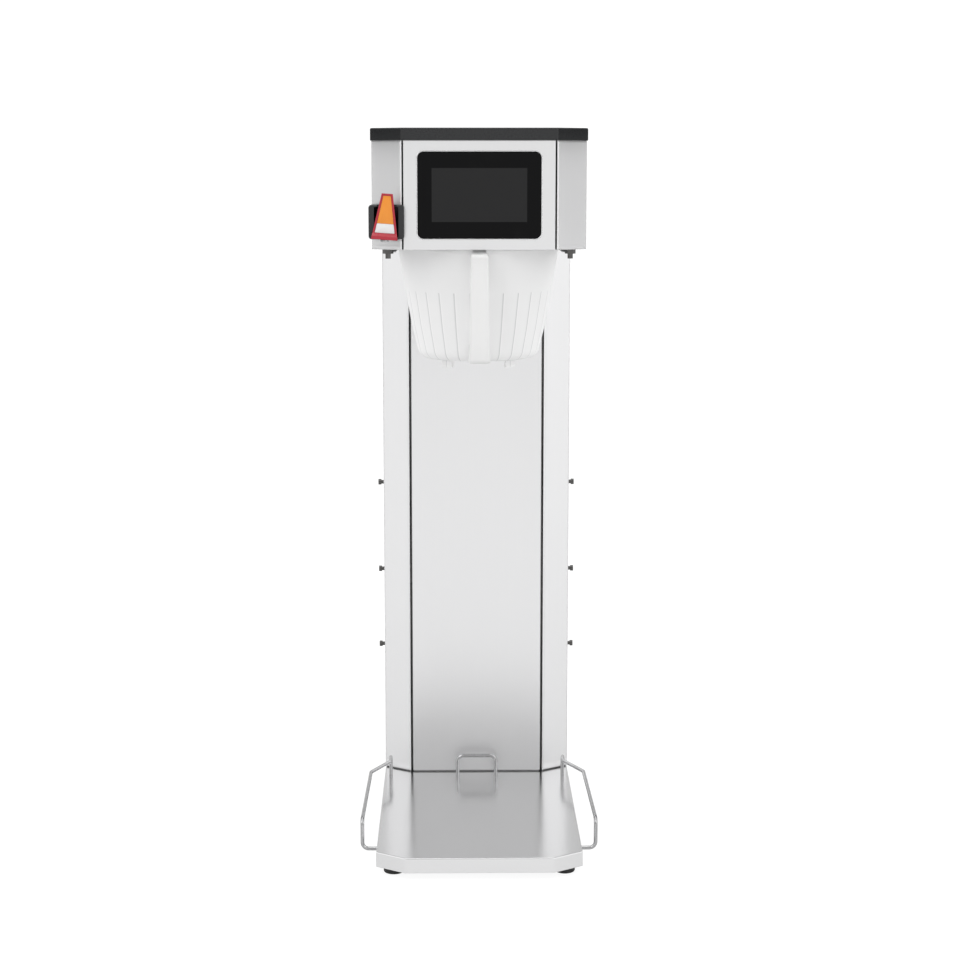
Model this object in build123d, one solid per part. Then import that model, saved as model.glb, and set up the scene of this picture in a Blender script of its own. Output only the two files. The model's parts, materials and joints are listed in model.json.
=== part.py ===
from build123d import *
import math
import os

# Overall size. The base's front edge is the front of the object, the water inlet's tip its rear.
overall_depth = 576.0
body_width = 254.0
foot_height = 10.0
base_height = 18.8
bay_height = 734.5
head_height = 127.2
lid_height = 14.5
inlet_reach = 24.0

# Folded steel sheet
sheet = 1.2
chamfer_width = 36.0
chamfer_depth = 24.0
return_depth = 11.0
tab_width = 8.0
rear_flange = 18.0
hem_height = 8.0
bottom_seam = 1.6
overrun = 5.0
fit_gap = 0.3
face_gap = 0.2

# Setbacks behind the base's front edge
column_setback = 355.0
head_setback = 30.0
funnel_setback = 137.0

# Seams between the front panels and the corner panels
column_seam = 3.2
head_seam = 2.0

# Head's underside
soffit_recess = 4.0
soffit_flange = 26.0
soffit_lip = 9.0
soffit_tail = 30.0

# Base tray
tray_return = 12.0
tray_edge_radius = 1.5
cable_opening_width = 50.0
cable_opening_depth = 110.0

# Levelling feet
foot_inset_side = 21.6
foot_inset_front = 35.0
foot_inset_rear = 35.0
foot_pad_radius = 12.7
foot_pad_flat_radius = 8.5
stud_radius = 4.9
stud_clearance = 0.05
stud_length = 16.5
socket_radius = 9.0
socket_height = 11.0

# Wire hoop and side rails
wire_radius = 2.4
wire_bend = 8.0
hoop_centre_height = 28.8
hoop_half_width = 26.2
hoop_to_column = 20.8
rail_foot_x = 118.3
rail_foot_to_column = 19.0
rail_straight = 28.0
rail_jog_length = 49.0
rail_rear_x = 142.6
rail_front_x = 145.4
rail_front_setback = 62.0
rail_side_hole_drop = 8.8
wire_end_below = 3.6
wire_hole_gap = 0.15
wire_nut_radius = 5.0
wire_nut_height = 2.2

# Lid
lid_oversize = 1.5
lid_wall = 3.0
lid_edge_radius = 2.0
lid_skirt_depth = 5.0
lid_skirt_wall = 2.0
lid_rib_wall = 2.0

# Rear panel and its louvres
louvre_width = 120.0
louvre_radius = 5.0
louvre_pitch = 12.0
upper_louvres = 5
lower_louvres = 4
upper_louvre_drop = 98.0
lower_louvre_rise = 150.0
rear_panel_side_gap = 0.4
rear_panel_end_gap = 0.3
panel_screw_radius = 1.9
panel_screw_head_radius = 3.8
panel_screw_head = 2.4
panel_screw_length = 7.0
panel_screw_rows = 4
panel_screw_end = 40.0

# Display
glass_width = 144.6
glass_height = 100.5
glass_corner = 7.0
glass_thickness = 2.8
glass_proud = 0.3
bracket_border = 9.0
bracket_depth = 3.0
module_width = 120.7
module_height = 75.8
module_depth = 3.6
board_width = 168.0
board_height = 92.0
board_thickness = 1.6
board_standoff = 12.0
standoff_radius = 3.5
board_corner = 7.0
chip_width = 16.0
chip_height = 12.0
chip_depth = 4.0
capacitor_radius = 5.0
capacitor_length = 14.0
connector_width = 30.0
connector_height = 9.0
connector_depth = 9.0

# Power supply, relay and terminals
supply_width = 110.0
supply_depth = 62.0
supply_height = 34.0
supply_wall = 1.5
supply_setback = 250.0
supply_side = 65.0
supply_slots = 6
supply_slot_width = 4.0
supply_slot_inset = 6.0
heat_sink_width = 96.0
heat_sink_depth = 52.0
heat_sink_height = 34.0
heat_sink_base = 6.0
heat_sink_fins = 9
heat_sink_fin = 2.0
relay_width = 34.0
relay_height = 12.0
relay_depth = 26.0
terminal_width = 64.0
terminal_depth = 26.0
terminal_height = 22.0
terminal_poles = 3
terminal_screw_radius = 4.0
terminal_step = 9.0
electrics_side = 58.0
electrics_gap = 44.0

# Power switch
switch_width = 27.0
switch_height = 21.0
switch_bezel = 2.5
switch_bezel_depth = 2.0
switch_depth = 24.0
switch_wall = 2.0
switch_side = 70.0
switch_rise = 100.0
rocker_gap = 0.35
rocker_well = 12.0
rocker_pivot_depth = 5.0
rocker_dish = 1.6
rocker_depth = 5.0
rocker_proud = 2.6
rocker_tilt = 12.0
rocker_pin_radius = 1.5
rocker_pin_clearance = 0.05
switch_pins = 3
switch_pin_width = 6.3
switch_pin_thickness = 0.8
switch_pin_length = 10.0

# Cord gland
gland_bore_radius = 5.5
gland_neck_radius = 9.0
gland_flange_radius = 13.0
gland_flange = 4.0
gland_outside = 9.0
gland_inside = 16.0
gland_nut = 5.0
gland_side = 70.0
gland_rise = 52.0

# Tank
tank_width = 190.0
tank_depth = 142.0
tank_rise = 232.0
tank_height = 500.0
tank_wall = 1.5
tank_corner = 22.0
tank_rim = 9.0
tank_rim_thickness = 2.0
tank_column_gap = 22.0
gasket_thickness = 3.0
tank_lid_thickness = 3.0
shelf_flange = 14.0
shelf_side_gap = 0.1
shelf_opening_share = 0.6
element_radius = 4.0
element_length = 300.0
element_spread = 16.0
element_bend = 14.4
element_side = 42.0
element_terminal = 16.0
element_nut_radius = 8.0
element_nut = 5.0
probe_radius = 1.6
probe_length = 120.0
probe_boss_radius = 6.0
probe_boss = 10.0
level_probe_length = 46.0
probe_side = 74.0
thermostat_radius = 12.0
thermostat_thickness = 6.0
thermostat_stem_radius = 5.0
thermostat_stem = 7.0
thermostat_rise_share = 0.8

# Water path
inlet_flare_radius = 5.6
inlet_flare_length = 16.0
inlet_hex_radius = 9.5
inlet_hex = 6.0
inlet_shank_radius = 6.5
inlet_shank_length = 14.0
inlet_bore_radius = 3.2
inlet_side = 62.0
inlet_rise = 52.0
valve_body_width = 30.0
valve_body_depth = 34.0
valve_body_height = 22.0
valve_coil_radius = 15.0
dispense_coil_radius = 13.5
valve_coil_height = 30.0
valve_cap_radius = 6.0
valve_cap_height = 6.0
tube_radius = 5.0
tube_bore = 3.5
tube_bend = 14.0
port_radius = 6.5
port_length = 9.0
faucet_port_side = 77.0
dispense_riser = 24.0
dispense_bend = 15.0
spray_radius = 32.0
spray_thickness = 2.8
spray_hole_radius = 1.6
spray_ring_radius = 20.0
spray_holes = 8
spray_neck_radius = 9.0
spray_bore = 4.5
spray_clearance = 0.4
fitting_radius = 12.0
fitting_height = 16.0

# Funnel
funnel_top_radius = 98.4
funnel_waist_radius = 81.8
funnel_foot_radius = 72.6
funnel_waist_drop = 94.0
funnel_height = 133.4
funnel_wall = 2.4
funnel_waist_blend = 60.0
funnel_foot_blend = 15.0
funnel_flange_radius = 101.0
funnel_flange = 2.2
flange_notch_width = 15.0
flange_notch_depth = 4.0
splash_lip = 2.6
splash_lip_wall = 1.2
splash_lip_run = 20.0
funnel_ribs = 28
rib_height = 70.0
rib_depth = 2.0
rib_thickness = 1.6
rib_root = 0.4
outlet_radius = 8.0
outlet_bore = 4.5
outlet_length = 8.0
funnel_feet = 4
funnel_foot_width = 17.0
funnel_foot_depth = 3.0
funnel_foot_height = 8.5
funnel_foot_reach = 52.0
bond_gap = 0.05

# Funnel handle
handle_front_setback = 8.0
handle_thickness = 12.0
handle_top_width = 21.0
handle_low_width = 24.0
handle_foot_width = 26.0
handle_foot_height = 18.0
handle_top_drop = 1.6
handle_bridge = 12.0
handle_low_rise = 3.5
handle_edge_radius = 3.0
handle_end_radius = 5.0

# Funnel rails
rail_lip_inset = 0.6
rail_web_gap = 3.8
rail_flange_reach = 16.0
rail_start_setback = 58.0
rail_length = 180.0
flange_lip_gap = 0.3

# Studs under the head
head_stud_x = 108.0
head_stud_setback = 51.5
head_stud_radius = 3.2
head_stud_drop = 10.9
head_stud_above = 8.0
head_nut_radius = 6.4
head_nut_height = 7.9

# Shoulder screws on the column's sides
shoulder_setback = 400.0
shoulder_high_rise = 401.2
shoulder_middle_rise = 279.2
shoulder_low_rise = 172.2
shoulder_neck_radius = 2.6
shoulder_neck = 4.0
shoulder_head_radius = 3.9
shoulder_head = 4.0
shoulder_shank_radius = 2.0
shoulder_shank = 8.0

# Hot-water faucet: mounted on the head's left slanting corner, turned to face forward
faucet_from_seam = 15.7
guard_width = 41.5
guard_height = 39.9
guard_rise = 12.8
guard_proud = 7.5
guard_wall = 2.5
guard_back = 1.5
guard_face = 2.0
guard_side_rim = 6.5
guard_corner = 3.6
guard_edge = 1.0
guard_notch_width = 23.0
guard_notch_depth = 9.0
spout_notch_gap = 2.0
barrel_radius = 6.0
barrel_bore = 4.6
barrel_out = 13.0
barrel_low = 21.5
barrel_high = 39.5
barrel_cap = 2.5
seat_thickness = 2.5
spout_radius = 4.2
spout_bore = 3.0
spout_low = 9.6
shank_radius = 5.0
shank_bore = 3.2
shank_rise = 31.0
shank_length = 20.0
shank_shoulder_radius = 7.0
arm_boss_radius = 2.8
nut_radius = 9.0
nut_height = 6.0
stem_radius = 1.7
stem_clearance = 0.08
stem_top = 45.0
seat_cup_radius = 4.0
seat_cup_height = 4.0
seat_gap = 0.05
cross_pin_radius = 1.2
spring_wire = 0.45
spring_turns = 4
spring_radius = 3.0
pivot_arm = 6.0
pivot_rise = 42.7
pivot_radius = 1.5
pivot_clearance = 0.06
lug_width = 9.0
lug_height = 8.0
lug_front_gap = 1.1
lug_back_wall = 1.1
lever_low = 12.5
lever_high = 65.8
lever_low_width = 31.0
lever_high_width = 13.0
lever_thickness = 3.2
lever_gap = 0.5
lever_lean = 4.2
lever_lip_height = 7.4
lever_lip_reach = 4.2
lever_border = 2.4
lever_recess = 0.7
arm_width = 2.0
arm_gap = 0.4
arm_height = 5.6
cross_pin_gap = 0.3
slot_extra = 1.2
supply_lead = 20.0

# Places worked out from the sizes
front_y = -overall_depth / 2
rear_y = overall_depth / 2 - inlet_reach
half_width = body_width / 2
seam_x = half_width - chamfer_width
base_low = foot_height
base_top = base_low + base_height
head_low = base_top + bay_height
head_top = head_low + head_height
lid_top = head_top + lid_height
column_y = front_y + column_setback
head_y = front_y + head_setback
funnel_y = front_y + funnel_setback
soffit_z = head_low + soffit_recess
inner_rear_y = rear_y - sheet
display_z = (head_low + head_top) / 2
panel_screw_x = half_width - rear_flange / 2
rail_front_y = front_y + rail_front_setback
rail_side_z = base_top - rail_side_hole_drop
rail_foot_y = column_y - rail_foot_to_column
hoop_y = column_y - hoop_to_column
wire_top = base_top + hoop_centre_height
flange_high = head_low - face_gap
flange_low = flange_high - funnel_flange
funnel_top = flange_low
funnel_low = funnel_top - funnel_height
gland_x = -gland_side
gland_z = base_top + gland_rise
inlet_x = inlet_side
inlet_z = base_top + inlet_rise
switch_x = -switch_side
switch_z = base_top + switch_rise
rocker_y = rear_y - rocker_pivot_depth
glass_back_y = head_y - glass_proud + glass_thickness
bracket_back_y = glass_back_y + bracket_depth
board_y = bracket_back_y + board_standoff
electrics_y = column_y + electrics_gap
tank_near = column_y + tank_column_gap
tank_middle = tank_near + tank_depth / 2
tank_low = base_top + tank_rise
tank_high = tank_low + tank_height
lid_low = tank_high + gasket_thickness
lid_high = lid_low + tank_lid_thickness
faucet_port_x = -faucet_port_side
port_y = tank_near + tank_corner
valve_y = inner_rear_y - inlet_shank_length - valve_body_depth
fitting_low = soffit_z + sheet
fitting_top = fitting_low + fitting_height
neck_top = fitting_low + fitting_height / 2 - sheet * 2
faucet_turn = -math.degrees(math.atan2(chamfer_depth, chamfer_width))
slant_share = faucet_from_seam / math.hypot(chamfer_width, chamfer_depth)
faucet_x = -(seam_x + chamfer_width * slant_share)
faucet_y = head_y + chamfer_depth * slant_share
stem_y = -barrel_out
stem_x = faucet_x + barrel_out * math.sin(math.radians(faucet_turn))
stem_place_y = faucet_y - barrel_out * math.cos(math.radians(faucet_turn))
pivot_y = stem_y + pivot_arm
pivot_z = head_low + pivot_rise
shank_z = head_low + shank_rise
barrel_floor = head_low + barrel_low
barrel_top = head_low + barrel_high
lever_back = stem_y - barrel_radius - lever_gap
arm_inner = lug_width / 2 + arm_gap
arm_outer = arm_inner + arm_width
guard_x = -(seam_x + chamfer_width / 2)
guard_low = head_low + guard_rise
guard_high = guard_low + guard_height
up = (0, 0, 1)


def rect(left, right, near, far):
    """Flat rectangle between four edges."""
    return Pos((left + right) / 2, (near + far) / 2) * Rectangle(right - left, far - near)


def block(left, right, near, far, low, high):
    """Box between six faces."""
    middle = Pos((left + right) / 2, (near + far) / 2, (low + high) / 2)
    return middle * Box(right - left, far - near, high - low)


def post(x, y, low, high, radius):
    """Upright cylinder."""
    return Pos(x, y, (low + high) / 2) * Cylinder(radius, high - low)


def bar_back(x, z, near, far, radius):
    """Cylinder that runs from front to back."""
    return Pos(x, (near + far) / 2, z) * Rot(90, 0, 0) * Cylinder(radius, far - near)


def bar_across(y, z, left, right, radius):
    """Cylinder that runs from left to right."""
    return Pos((left + right) / 2, y, z) * Rot(0, 90, 0) * Cylinder(radius, right - left)


def side_hole(y, z, x, radius):
    """Cutter for a hole through an upright side wall."""
    return bar_across(y, z, x - overrun, x + overrun, radius)


def prism(face, low, high):
    """Upright prism over a flat outline."""
    return extrude(Pos(0, 0, low) * face, amount=high - low, dir=up)


def hexagon(x, y, low, high, radius):
    """Upright hexagonal prism."""
    return Pos(x, y) * prism(RegularPolygon(radius, side_count=6), low, high)


def hex_back(x, z, near, far, radius):
    """Hexagonal prism that runs from front to back."""
    face = Plane.XZ * RegularPolygon(radius, side_count=6)
    return Pos(x, near, z) * extrude(face, amount=far - near, dir=(0, 1, 0))


def bent_wire(points, bends, radius, bore=0):
    """Round wire or tube along straight runs joined by bends."""
    path = FilletPolyline(*points, radius=bends)
    start = Plane(origin=path @ 0, z_dir=path % 0)
    section = Circle(radius)
    if bore:
        section = section - Circle(bore)
    return sweep(start * section, path=path)


def plan(front, inset=0):
    """Outline shared by base, column and head: straight front, slanting corners, square rear."""
    points = [
        (-seam_x, front),
        (seam_x, front),
        (half_width, front + chamfer_depth),
        (half_width, inner_rear_y),
        (-half_width, inner_rear_y),
        (-half_width, front + chamfer_depth),
    ]
    face = make_face(Polyline(*points, close=True))
    if inset:
        face = offset(face, amount=-inset, kind=Kind.INTERSECTION)
    return face


def ring(front, outer, inner):
    """Band between two insets of the shared outline."""
    return plan(front, outer) - plan(front, inner)


def half_section(front, outer=0):
    """Right-hand part of the folded wall: slanting corner, side and rear flange."""
    corner_and_side = rect(seam_x, half_width, front, inner_rear_y)
    flange = rect(half_width - rear_flange, half_width, inner_rear_y - rear_flange, inner_rear_y)
    return ring(front, outer, outer + sheet) & (corner_and_side + flange)


def corner_return(front):
    """Fold behind the seam, with the tab that carries the front panel."""
    back = front + return_depth
    leg = rect(seam_x, seam_x + sheet, front + sheet, back)
    tab = rect(seam_x - tab_width, seam_x + sheet, back - sheet, back)
    return leg + tab


def make_side_panel():
    """Right side panel: one folded sheet over column and head."""
    column = prism(half_section(column_y), base_top + bottom_seam, soffit_z)
    column += prism(half_section(column_y, sheet), base_top, base_top + hem_height)
    column += prism(corner_return(column_y), base_top, soffit_z)
    head = prism(half_section(head_y), head_low, head_top)
    head += prism(corner_return(head_y), head_low, head_top)
    floor = ring(head_y, sheet / 2, soffit_flange)
    floor &= rect(seam_x + sheet / 2, half_width, head_y, column_y + chamfer_depth)
    head += prism(floor, soffit_z - sheet, soffit_z)
    panel = column + head
    panel -= post(head_stud_x, front_y + head_stud_setback, head_low, head_top, head_stud_radius + fit_gap)
    shoulder_y = front_y + shoulder_setback
    for rise in (shoulder_high_rise, shoulder_middle_rise, shoulder_low_rise):
        panel -= side_hole(shoulder_y, base_top + rise, half_width, shoulder_shank_radius + fit_gap)
    for screw_z in panel_screw_heights():
        panel -= bar_back(panel_screw_x, screw_z, rear_y - overrun, rear_y, panel_screw_radius + fit_gap)
    return panel


def panel_screw_heights():
    """Heights of the rear panel's screws, evenly spaced."""
    low = base_top + panel_screw_end
    step = (head_top - panel_screw_end - low) / (panel_screw_rows - 1)
    return [low + row * step for row in range(panel_screw_rows)]


def make_front_panel(front, seam, low, high):
    """Front panel with side flanges that rest on the corner panels' tabs."""
    half = seam_x - seam
    back = front + return_depth - sheet
    panel = block(-half, half, front, front + sheet, low, high)
    for side in (-1, 1):
        edge = side * (half - sheet / 2)
        panel += block(edge - sheet / 2, edge + sheet / 2, front, back, low, high)
    return panel


def make_column_front():
    """Column's front panel, on a set-back hem that leaves a dark line over the base."""
    panel = make_front_panel(column_y, column_seam, base_top + bottom_seam, soffit_z)
    half = seam_x - column_seam - sheet
    panel += block(-half, half, column_y + sheet, column_y + sheet * 2, base_top, base_top + hem_height)
    return panel


def make_head_front():
    """Head's front panel with the window for the touch glass."""
    panel = make_front_panel(head_y, head_seam, head_low, head_top)
    half = seam_x - head_seam
    panel += block(-half, half, head_y, head_y + soffit_lip, head_low, head_low + sheet)
    panel += block(-half, half, head_y, head_y + soffit_lip, head_top - sheet, head_top)
    width = glass_width + fit_gap * 2
    height = glass_height + fit_gap * 2
    return panel - upright_slab(width, height, glass_corner + fit_gap, head_y - overrun, head_y + sheet)


def upright_slab(width, height, corner, near, far):
    """Upright plate with rounded corners, centred on the display."""
    face = Plane.XZ * RectangleRounded(width, height, corner)
    slab = extrude(face, amount=far - near, dir=(0, 1, 0))
    return Pos(0, near, display_z) * slab


def make_base_tray():
    """Base: a folded tray, open below, with holes for the wires and the cables."""
    outline = plan(front_y) + rect(-half_width, half_width, inner_rear_y - overrun, rear_y)
    tray = prism(outline, base_low, base_top)
    tray = fillet(tray.edges().group_by(Axis.Z)[-1], tray_edge_radius)
    hollow = offset(outline, amount=-sheet, kind=Kind.INTERSECTION)
    tray -= prism(hollow, base_low, base_top - sheet)
    inner_edge = offset(outline, amount=-tray_return, kind=Kind.INTERSECTION)
    tray += prism(hollow - inner_edge, base_low + sheet, base_low + sheet * 2)
    cable_middle = (column_y + inner_rear_y) / 2
    near = cable_middle - cable_opening_depth / 2
    far = cable_middle + cable_opening_depth / 2
    half = cable_opening_width / 2
    tray -= block(-half, half, near, far, base_top - overrun, base_top + overrun)
    for x, y in wire_feet():
        tray -= post(x, y, base_top - overrun, base_top + overrun, wire_radius + wire_hole_gap)
    for side in (-1, 1):
        tray -= side_hole(rail_front_y, rail_side_z, side * half_width, wire_radius + wire_hole_gap)
    return tray


def wire_feet():
    """Where the hoop's and the rails' upright ends pass through the base's top."""
    hoop = [(-hoop_half_width, hoop_y), (hoop_half_width, hoop_y)]
    rails = [(-rail_foot_x, rail_foot_y), (rail_foot_x, rail_foot_y)]
    return hoop + rails


def make_bottom_plate():
    """Plate that closes the base from below and carries the foot sockets."""
    outline = plan(front_y) + rect(-half_width, half_width, inner_rear_y - overrun, rear_y)
    inside = offset(outline, amount=-sheet - fit_gap, kind=Kind.INTERSECTION)
    plate = prism(inside, base_low, base_low + sheet)
    for x, y in foot_places().values():
        plate -= post(x, y, base_low - overrun, base_low + overrun, stud_radius + fit_gap)
    return plate


def foot_places():
    """Centres of the four feet by name."""
    x = half_width - foot_inset_side
    near = front_y + foot_inset_front
    far = rear_y - foot_inset_rear
    front = {"front_left": (-x, near), "front_right": (x, near)}
    return front | {"rear_left": (-x, far), "rear_right": (x, far)}


def make_foot(x, y):
    """Levelling foot: rounded pad and threaded stud, screwed in to its stop."""
    pad = Cylinder(foot_pad_radius, foot_height)
    low_edge = pad.edges().group_by(Axis.Z)[0]
    pad = chamfer(low_edge, length=foot_height / 2, length2=foot_pad_radius - foot_pad_flat_radius)
    foot = Pos(x, y, foot_height / 2) * pad
    return foot + post(x, y, foot_height - sheet, foot_height + stud_length, stud_radius)


def make_sockets():
    """Threaded bushes on the bottom plate, one over each foot."""
    bushes = []
    for x, y in foot_places().values():
        low = base_low + sheet
        bush = hexagon(x, y, low, low + socket_height, socket_radius)
        hole_top = low + socket_height + overrun
        bushes.append(bush - post(x, y, low - overrun, hole_top, stud_radius + stud_clearance))
    return bushes


def make_hoop():
    """Locator hoop: bent wire on the platform, in front of the column."""
    low = base_top - sheet - wire_end_below
    points = [
        (-hoop_half_width, hoop_y, low),
        (-hoop_half_width, hoop_y, wire_top),
        (hoop_half_width, hoop_y, wire_top),
        (hoop_half_width, hoop_y, low),
    ]
    return bent_wire(points, wire_bend, wire_radius)


def make_rail(side):
    """Side rail: stands by the column, jogs outwards, runs forward and turns down into the base's side."""
    low = base_top - sheet - wire_end_below
    jog_near = rail_foot_y - rail_straight - rail_jog_length
    points = [
        (side * rail_foot_x, rail_foot_y, low),
        (side * rail_foot_x, rail_foot_y, wire_top),
        (side * rail_foot_x, rail_foot_y - rail_straight, wire_top),
        (side * rail_rear_x, jog_near, wire_top),
        (side * rail_front_x, rail_front_y, wire_top),
        (side * rail_front_x, rail_front_y, rail_side_z),
        (side * (half_width - sheet - wire_end_below), rail_front_y, rail_side_z),
    ]
    return bent_wire(points, wire_bend, wire_radius)


def make_wire_nuts():
    """Push-on nuts that hold the wires from inside the base."""
    nuts = []
    high = base_top - sheet
    for x, y in wire_feet():
        nut = hexagon(x, y, high - wire_nut_height, high, wire_nut_radius)
        nuts.append(nut - post(x, y, high - overrun, high + overrun, wire_radius + wire_hole_gap))
    for side in (-1, 1):
        inner = side * (half_width - sheet - wire_nut_height)
        face = Plane.YZ * RegularPolygon(wire_nut_radius, side_count=6)
        nut = Pos(inner, rail_front_y, rail_side_z) * extrude(face, amount=wire_nut_height, dir=(side, 0, 0))
        nuts.append(nut - side_hole(rail_front_y, rail_side_z, inner, wire_radius + wire_hole_gap))
    return nuts


def make_lid():
    """Lid: shallow black cap, a little larger than the head, with a locating skirt and ribs."""
    outline = plan(head_y) + rect(-half_width, half_width, inner_rear_y - overrun, rear_y)
    outer = offset(outline, amount=lid_oversize, kind=Kind.INTERSECTION)
    inner = offset(outline, amount=lid_oversize - lid_wall, kind=Kind.INTERSECTION)
    lid = prism(outer, head_top, lid_top)
    lid = fillet(lid.edges().group_by(Axis.Z)[-1] + lid.edges().filter_by(Axis.Z), lid_edge_radius)
    lid -= prism(inner, head_top, lid_top - lid_wall)
    skirt_inset = sheet + fit_gap + rear_flange
    half = half_width - skirt_inset
    skirt_outer = rect(-half, half, column_y, inner_rear_y - skirt_inset)
    skirt_inner = offset(skirt_outer, amount=-lid_skirt_wall, kind=Kind.INTERSECTION)
    lid += prism(skirt_outer - skirt_inner, head_top - lid_skirt_depth, lid_top - lid_wall)
    near = head_y + chamfer_depth
    far = inner_rear_y - chamfer_depth
    for share in (-1, 0, 1):
        x = share * seam_x / 2
        lid += block(x - lid_rib_wall / 2, x + lid_rib_wall / 2, near, far, head_top, lid_top - lid_wall)
    return lid


def make_soffit():
    """Head's bottom plate with the sprayhead hole and the tab that stops the funnel."""
    near = head_y + return_depth + fit_gap
    inside = plan(head_y, sheet + fit_gap) & rect(-half_width, half_width, near, column_y + soffit_tail)
    plate = prism(inside, soffit_z, soffit_z + sheet)
    plate -= post(0, funnel_y, soffit_z - overrun, soffit_z + overrun, spray_neck_radius + spray_clearance)
    stud_y = front_y + head_stud_setback
    for x in (-head_stud_x, head_stud_x):
        plate -= post(x, stud_y, soffit_z - overrun, soffit_z + overrun, head_stud_radius + fit_gap)
    stop_y = funnel_y + funnel_flange_radius + fit_gap
    half = funnel_foot_width
    plate += block(-half, half, stop_y, stop_y + sheet, flange_low, soffit_z + sheet)
    return plate


def make_funnel_rail(side):
    """Funnel rail: Z section under the head's side flange."""
    web = funnel_flange_radius + rail_web_gap
    lip_high = flange_low - flange_lip_gap
    top = soffit_z - sheet
    near = front_y + rail_start_setback
    far = near + rail_length
    lip = block(funnel_top_radius + rail_lip_inset, web + sheet, near, far, lip_high - sheet, lip_high)
    wall = block(web, web + sheet, near, far, lip_high - sheet, top)
    flange = block(web, web + rail_flange_reach, near, far, top - sheet, top)
    rail = lip + wall + flange
    return rail if side > 0 else mirror(rail, about=Plane.YZ)


def make_head_studs():
    """Studs with flanged nuts that clamp rail, flange and plate at the head's front."""
    studs = []
    top = soffit_z - sheet
    y = front_y + head_stud_setback
    for side in (-1, 1):
        x = side * head_stud_x
        stud = post(x, y, head_low - head_stud_drop, soffit_z + head_stud_above, head_stud_radius)
        stud += hexagon(x, y, top - head_nut_height, top, head_nut_radius)
        stud += hexagon(x, y, soffit_z + sheet, soffit_z + sheet + wire_nut_height, head_nut_radius)
        studs.append(stud)
    return studs


def make_shoulder_screws():
    """Shoulder screws on both sides of the column."""
    screws = []
    y = front_y + shoulder_setback
    for rise in (shoulder_high_rise, shoulder_middle_rise, shoulder_low_rise):
        z = base_top + rise
        inner = half_width - shoulder_shank
        neck = half_width + shoulder_neck
        screw = bar_across(y, z, inner, half_width, shoulder_shank_radius)
        screw += bar_across(y, z, half_width, neck, shoulder_neck_radius)
        screw += bar_across(y, z, neck, neck + shoulder_head, shoulder_head_radius)
        nut_high = half_width - sheet
        screw += bar_across(y, z, nut_high - wire_nut_height, nut_high, shoulder_head_radius)
        screws.append(screw)
        screws.append(mirror(screw, about=Plane.YZ))
    return screws


def louvre_rows():
    """Heights of the louvres: a bank behind the head and a bank behind the electrics."""
    upper = [head_top - upper_louvre_drop + row * louvre_pitch for row in range(upper_louvres)]
    lower = [base_top + lower_louvre_rise + row * louvre_pitch for row in range(lower_louvres)]
    return upper + lower


def make_louvre(z):
    """Pressed louvre hood and the hollow under it, through the panel and open below."""
    half = louvre_width / 2
    keep = block(-half, half, rear_y - sheet / 2, rear_y + louvre_radius, z, z + louvre_radius)
    hood = bar_across(rear_y, z, -half, half, louvre_radius) & keep
    inner = louvre_radius - sheet
    hollow = bar_across(rear_y, z, -half + sheet, half - sheet, inner)
    hollow &= block(-half, half, rear_y - sheet, rear_y + louvre_radius, z - sheet, z + inner)
    slot = block(-half + sheet, half - sheet, inner_rear_y - sheet, rear_y, z, z + inner)
    return hood, hollow + slot


def make_rear_panel():
    """Rear panel with louvres, screw holes and the openings for switch, gland and inlet."""
    half = half_width - rear_panel_side_gap
    low = base_top + rear_panel_end_gap
    panel = block(-half, half, inner_rear_y, rear_y, low, head_top - rear_panel_end_gap)
    for z in louvre_rows():
        hood, hollow = make_louvre(z)
        panel = panel + hood - hollow
    near = inner_rear_y - overrun
    far = rear_y + overrun
    for x in (-panel_screw_x, panel_screw_x):
        for z in panel_screw_heights():
            panel -= bar_back(x, z, near, far, panel_screw_radius + fit_gap)
    panel -= bar_back(gland_x, gland_z, near, far, gland_neck_radius + fit_gap)
    panel -= bar_back(inlet_x, inlet_z, near, far, inlet_shank_radius + fit_gap)
    return panel - switch_block(fit_gap, near, far)


def make_rear_screws():
    """Pan-head screws of the rear panel."""
    screws = []
    for side in (-1, 1):
        for z in panel_screw_heights():
            x = side * panel_screw_x
            screw = bar_back(x, z, rear_y - panel_screw_length, rear_y, panel_screw_radius)
            screw += bar_back(x, z, rear_y, rear_y + panel_screw_head, panel_screw_head_radius)
            screws.append(screw)
    return screws


def make_glass():
    """Touch glass in the head's window."""
    near = head_y - glass_proud
    return upright_slab(glass_width, glass_height, glass_corner, near, near + glass_thickness)


def make_bracket():
    """Frame behind the window: carries glass and display, with posts for the board."""
    width = glass_width + bracket_border * 2
    height = glass_height + bracket_border
    frame = upright_slab(width, height, glass_corner, head_y + sheet, bracket_back_y)
    width = glass_width + fit_gap * 2
    height = glass_height + fit_gap * 2
    frame -= upright_slab(width, height, glass_corner, head_y, glass_back_y)
    width = module_width + fit_gap * 2
    height = module_height + fit_gap * 2
    frame -= upright_slab(width, height, fit_gap, head_y, bracket_back_y + overrun)
    for x, z in board_corners():
        frame += bar_back(x, z, bracket_back_y, board_y, standoff_radius)
    return frame


def board_corners():
    """Places of the four posts under the board."""
    x = board_width / 2 - board_corner
    z = board_height / 2 - board_corner
    return [(side * x, display_z + rise * z) for side in (-1, 1) for rise in (-1, 1)]


def make_module():
    """Display module behind the glass."""
    return upright_slab(module_width, module_height, fit_gap, glass_back_y, glass_back_y + module_depth)


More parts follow.
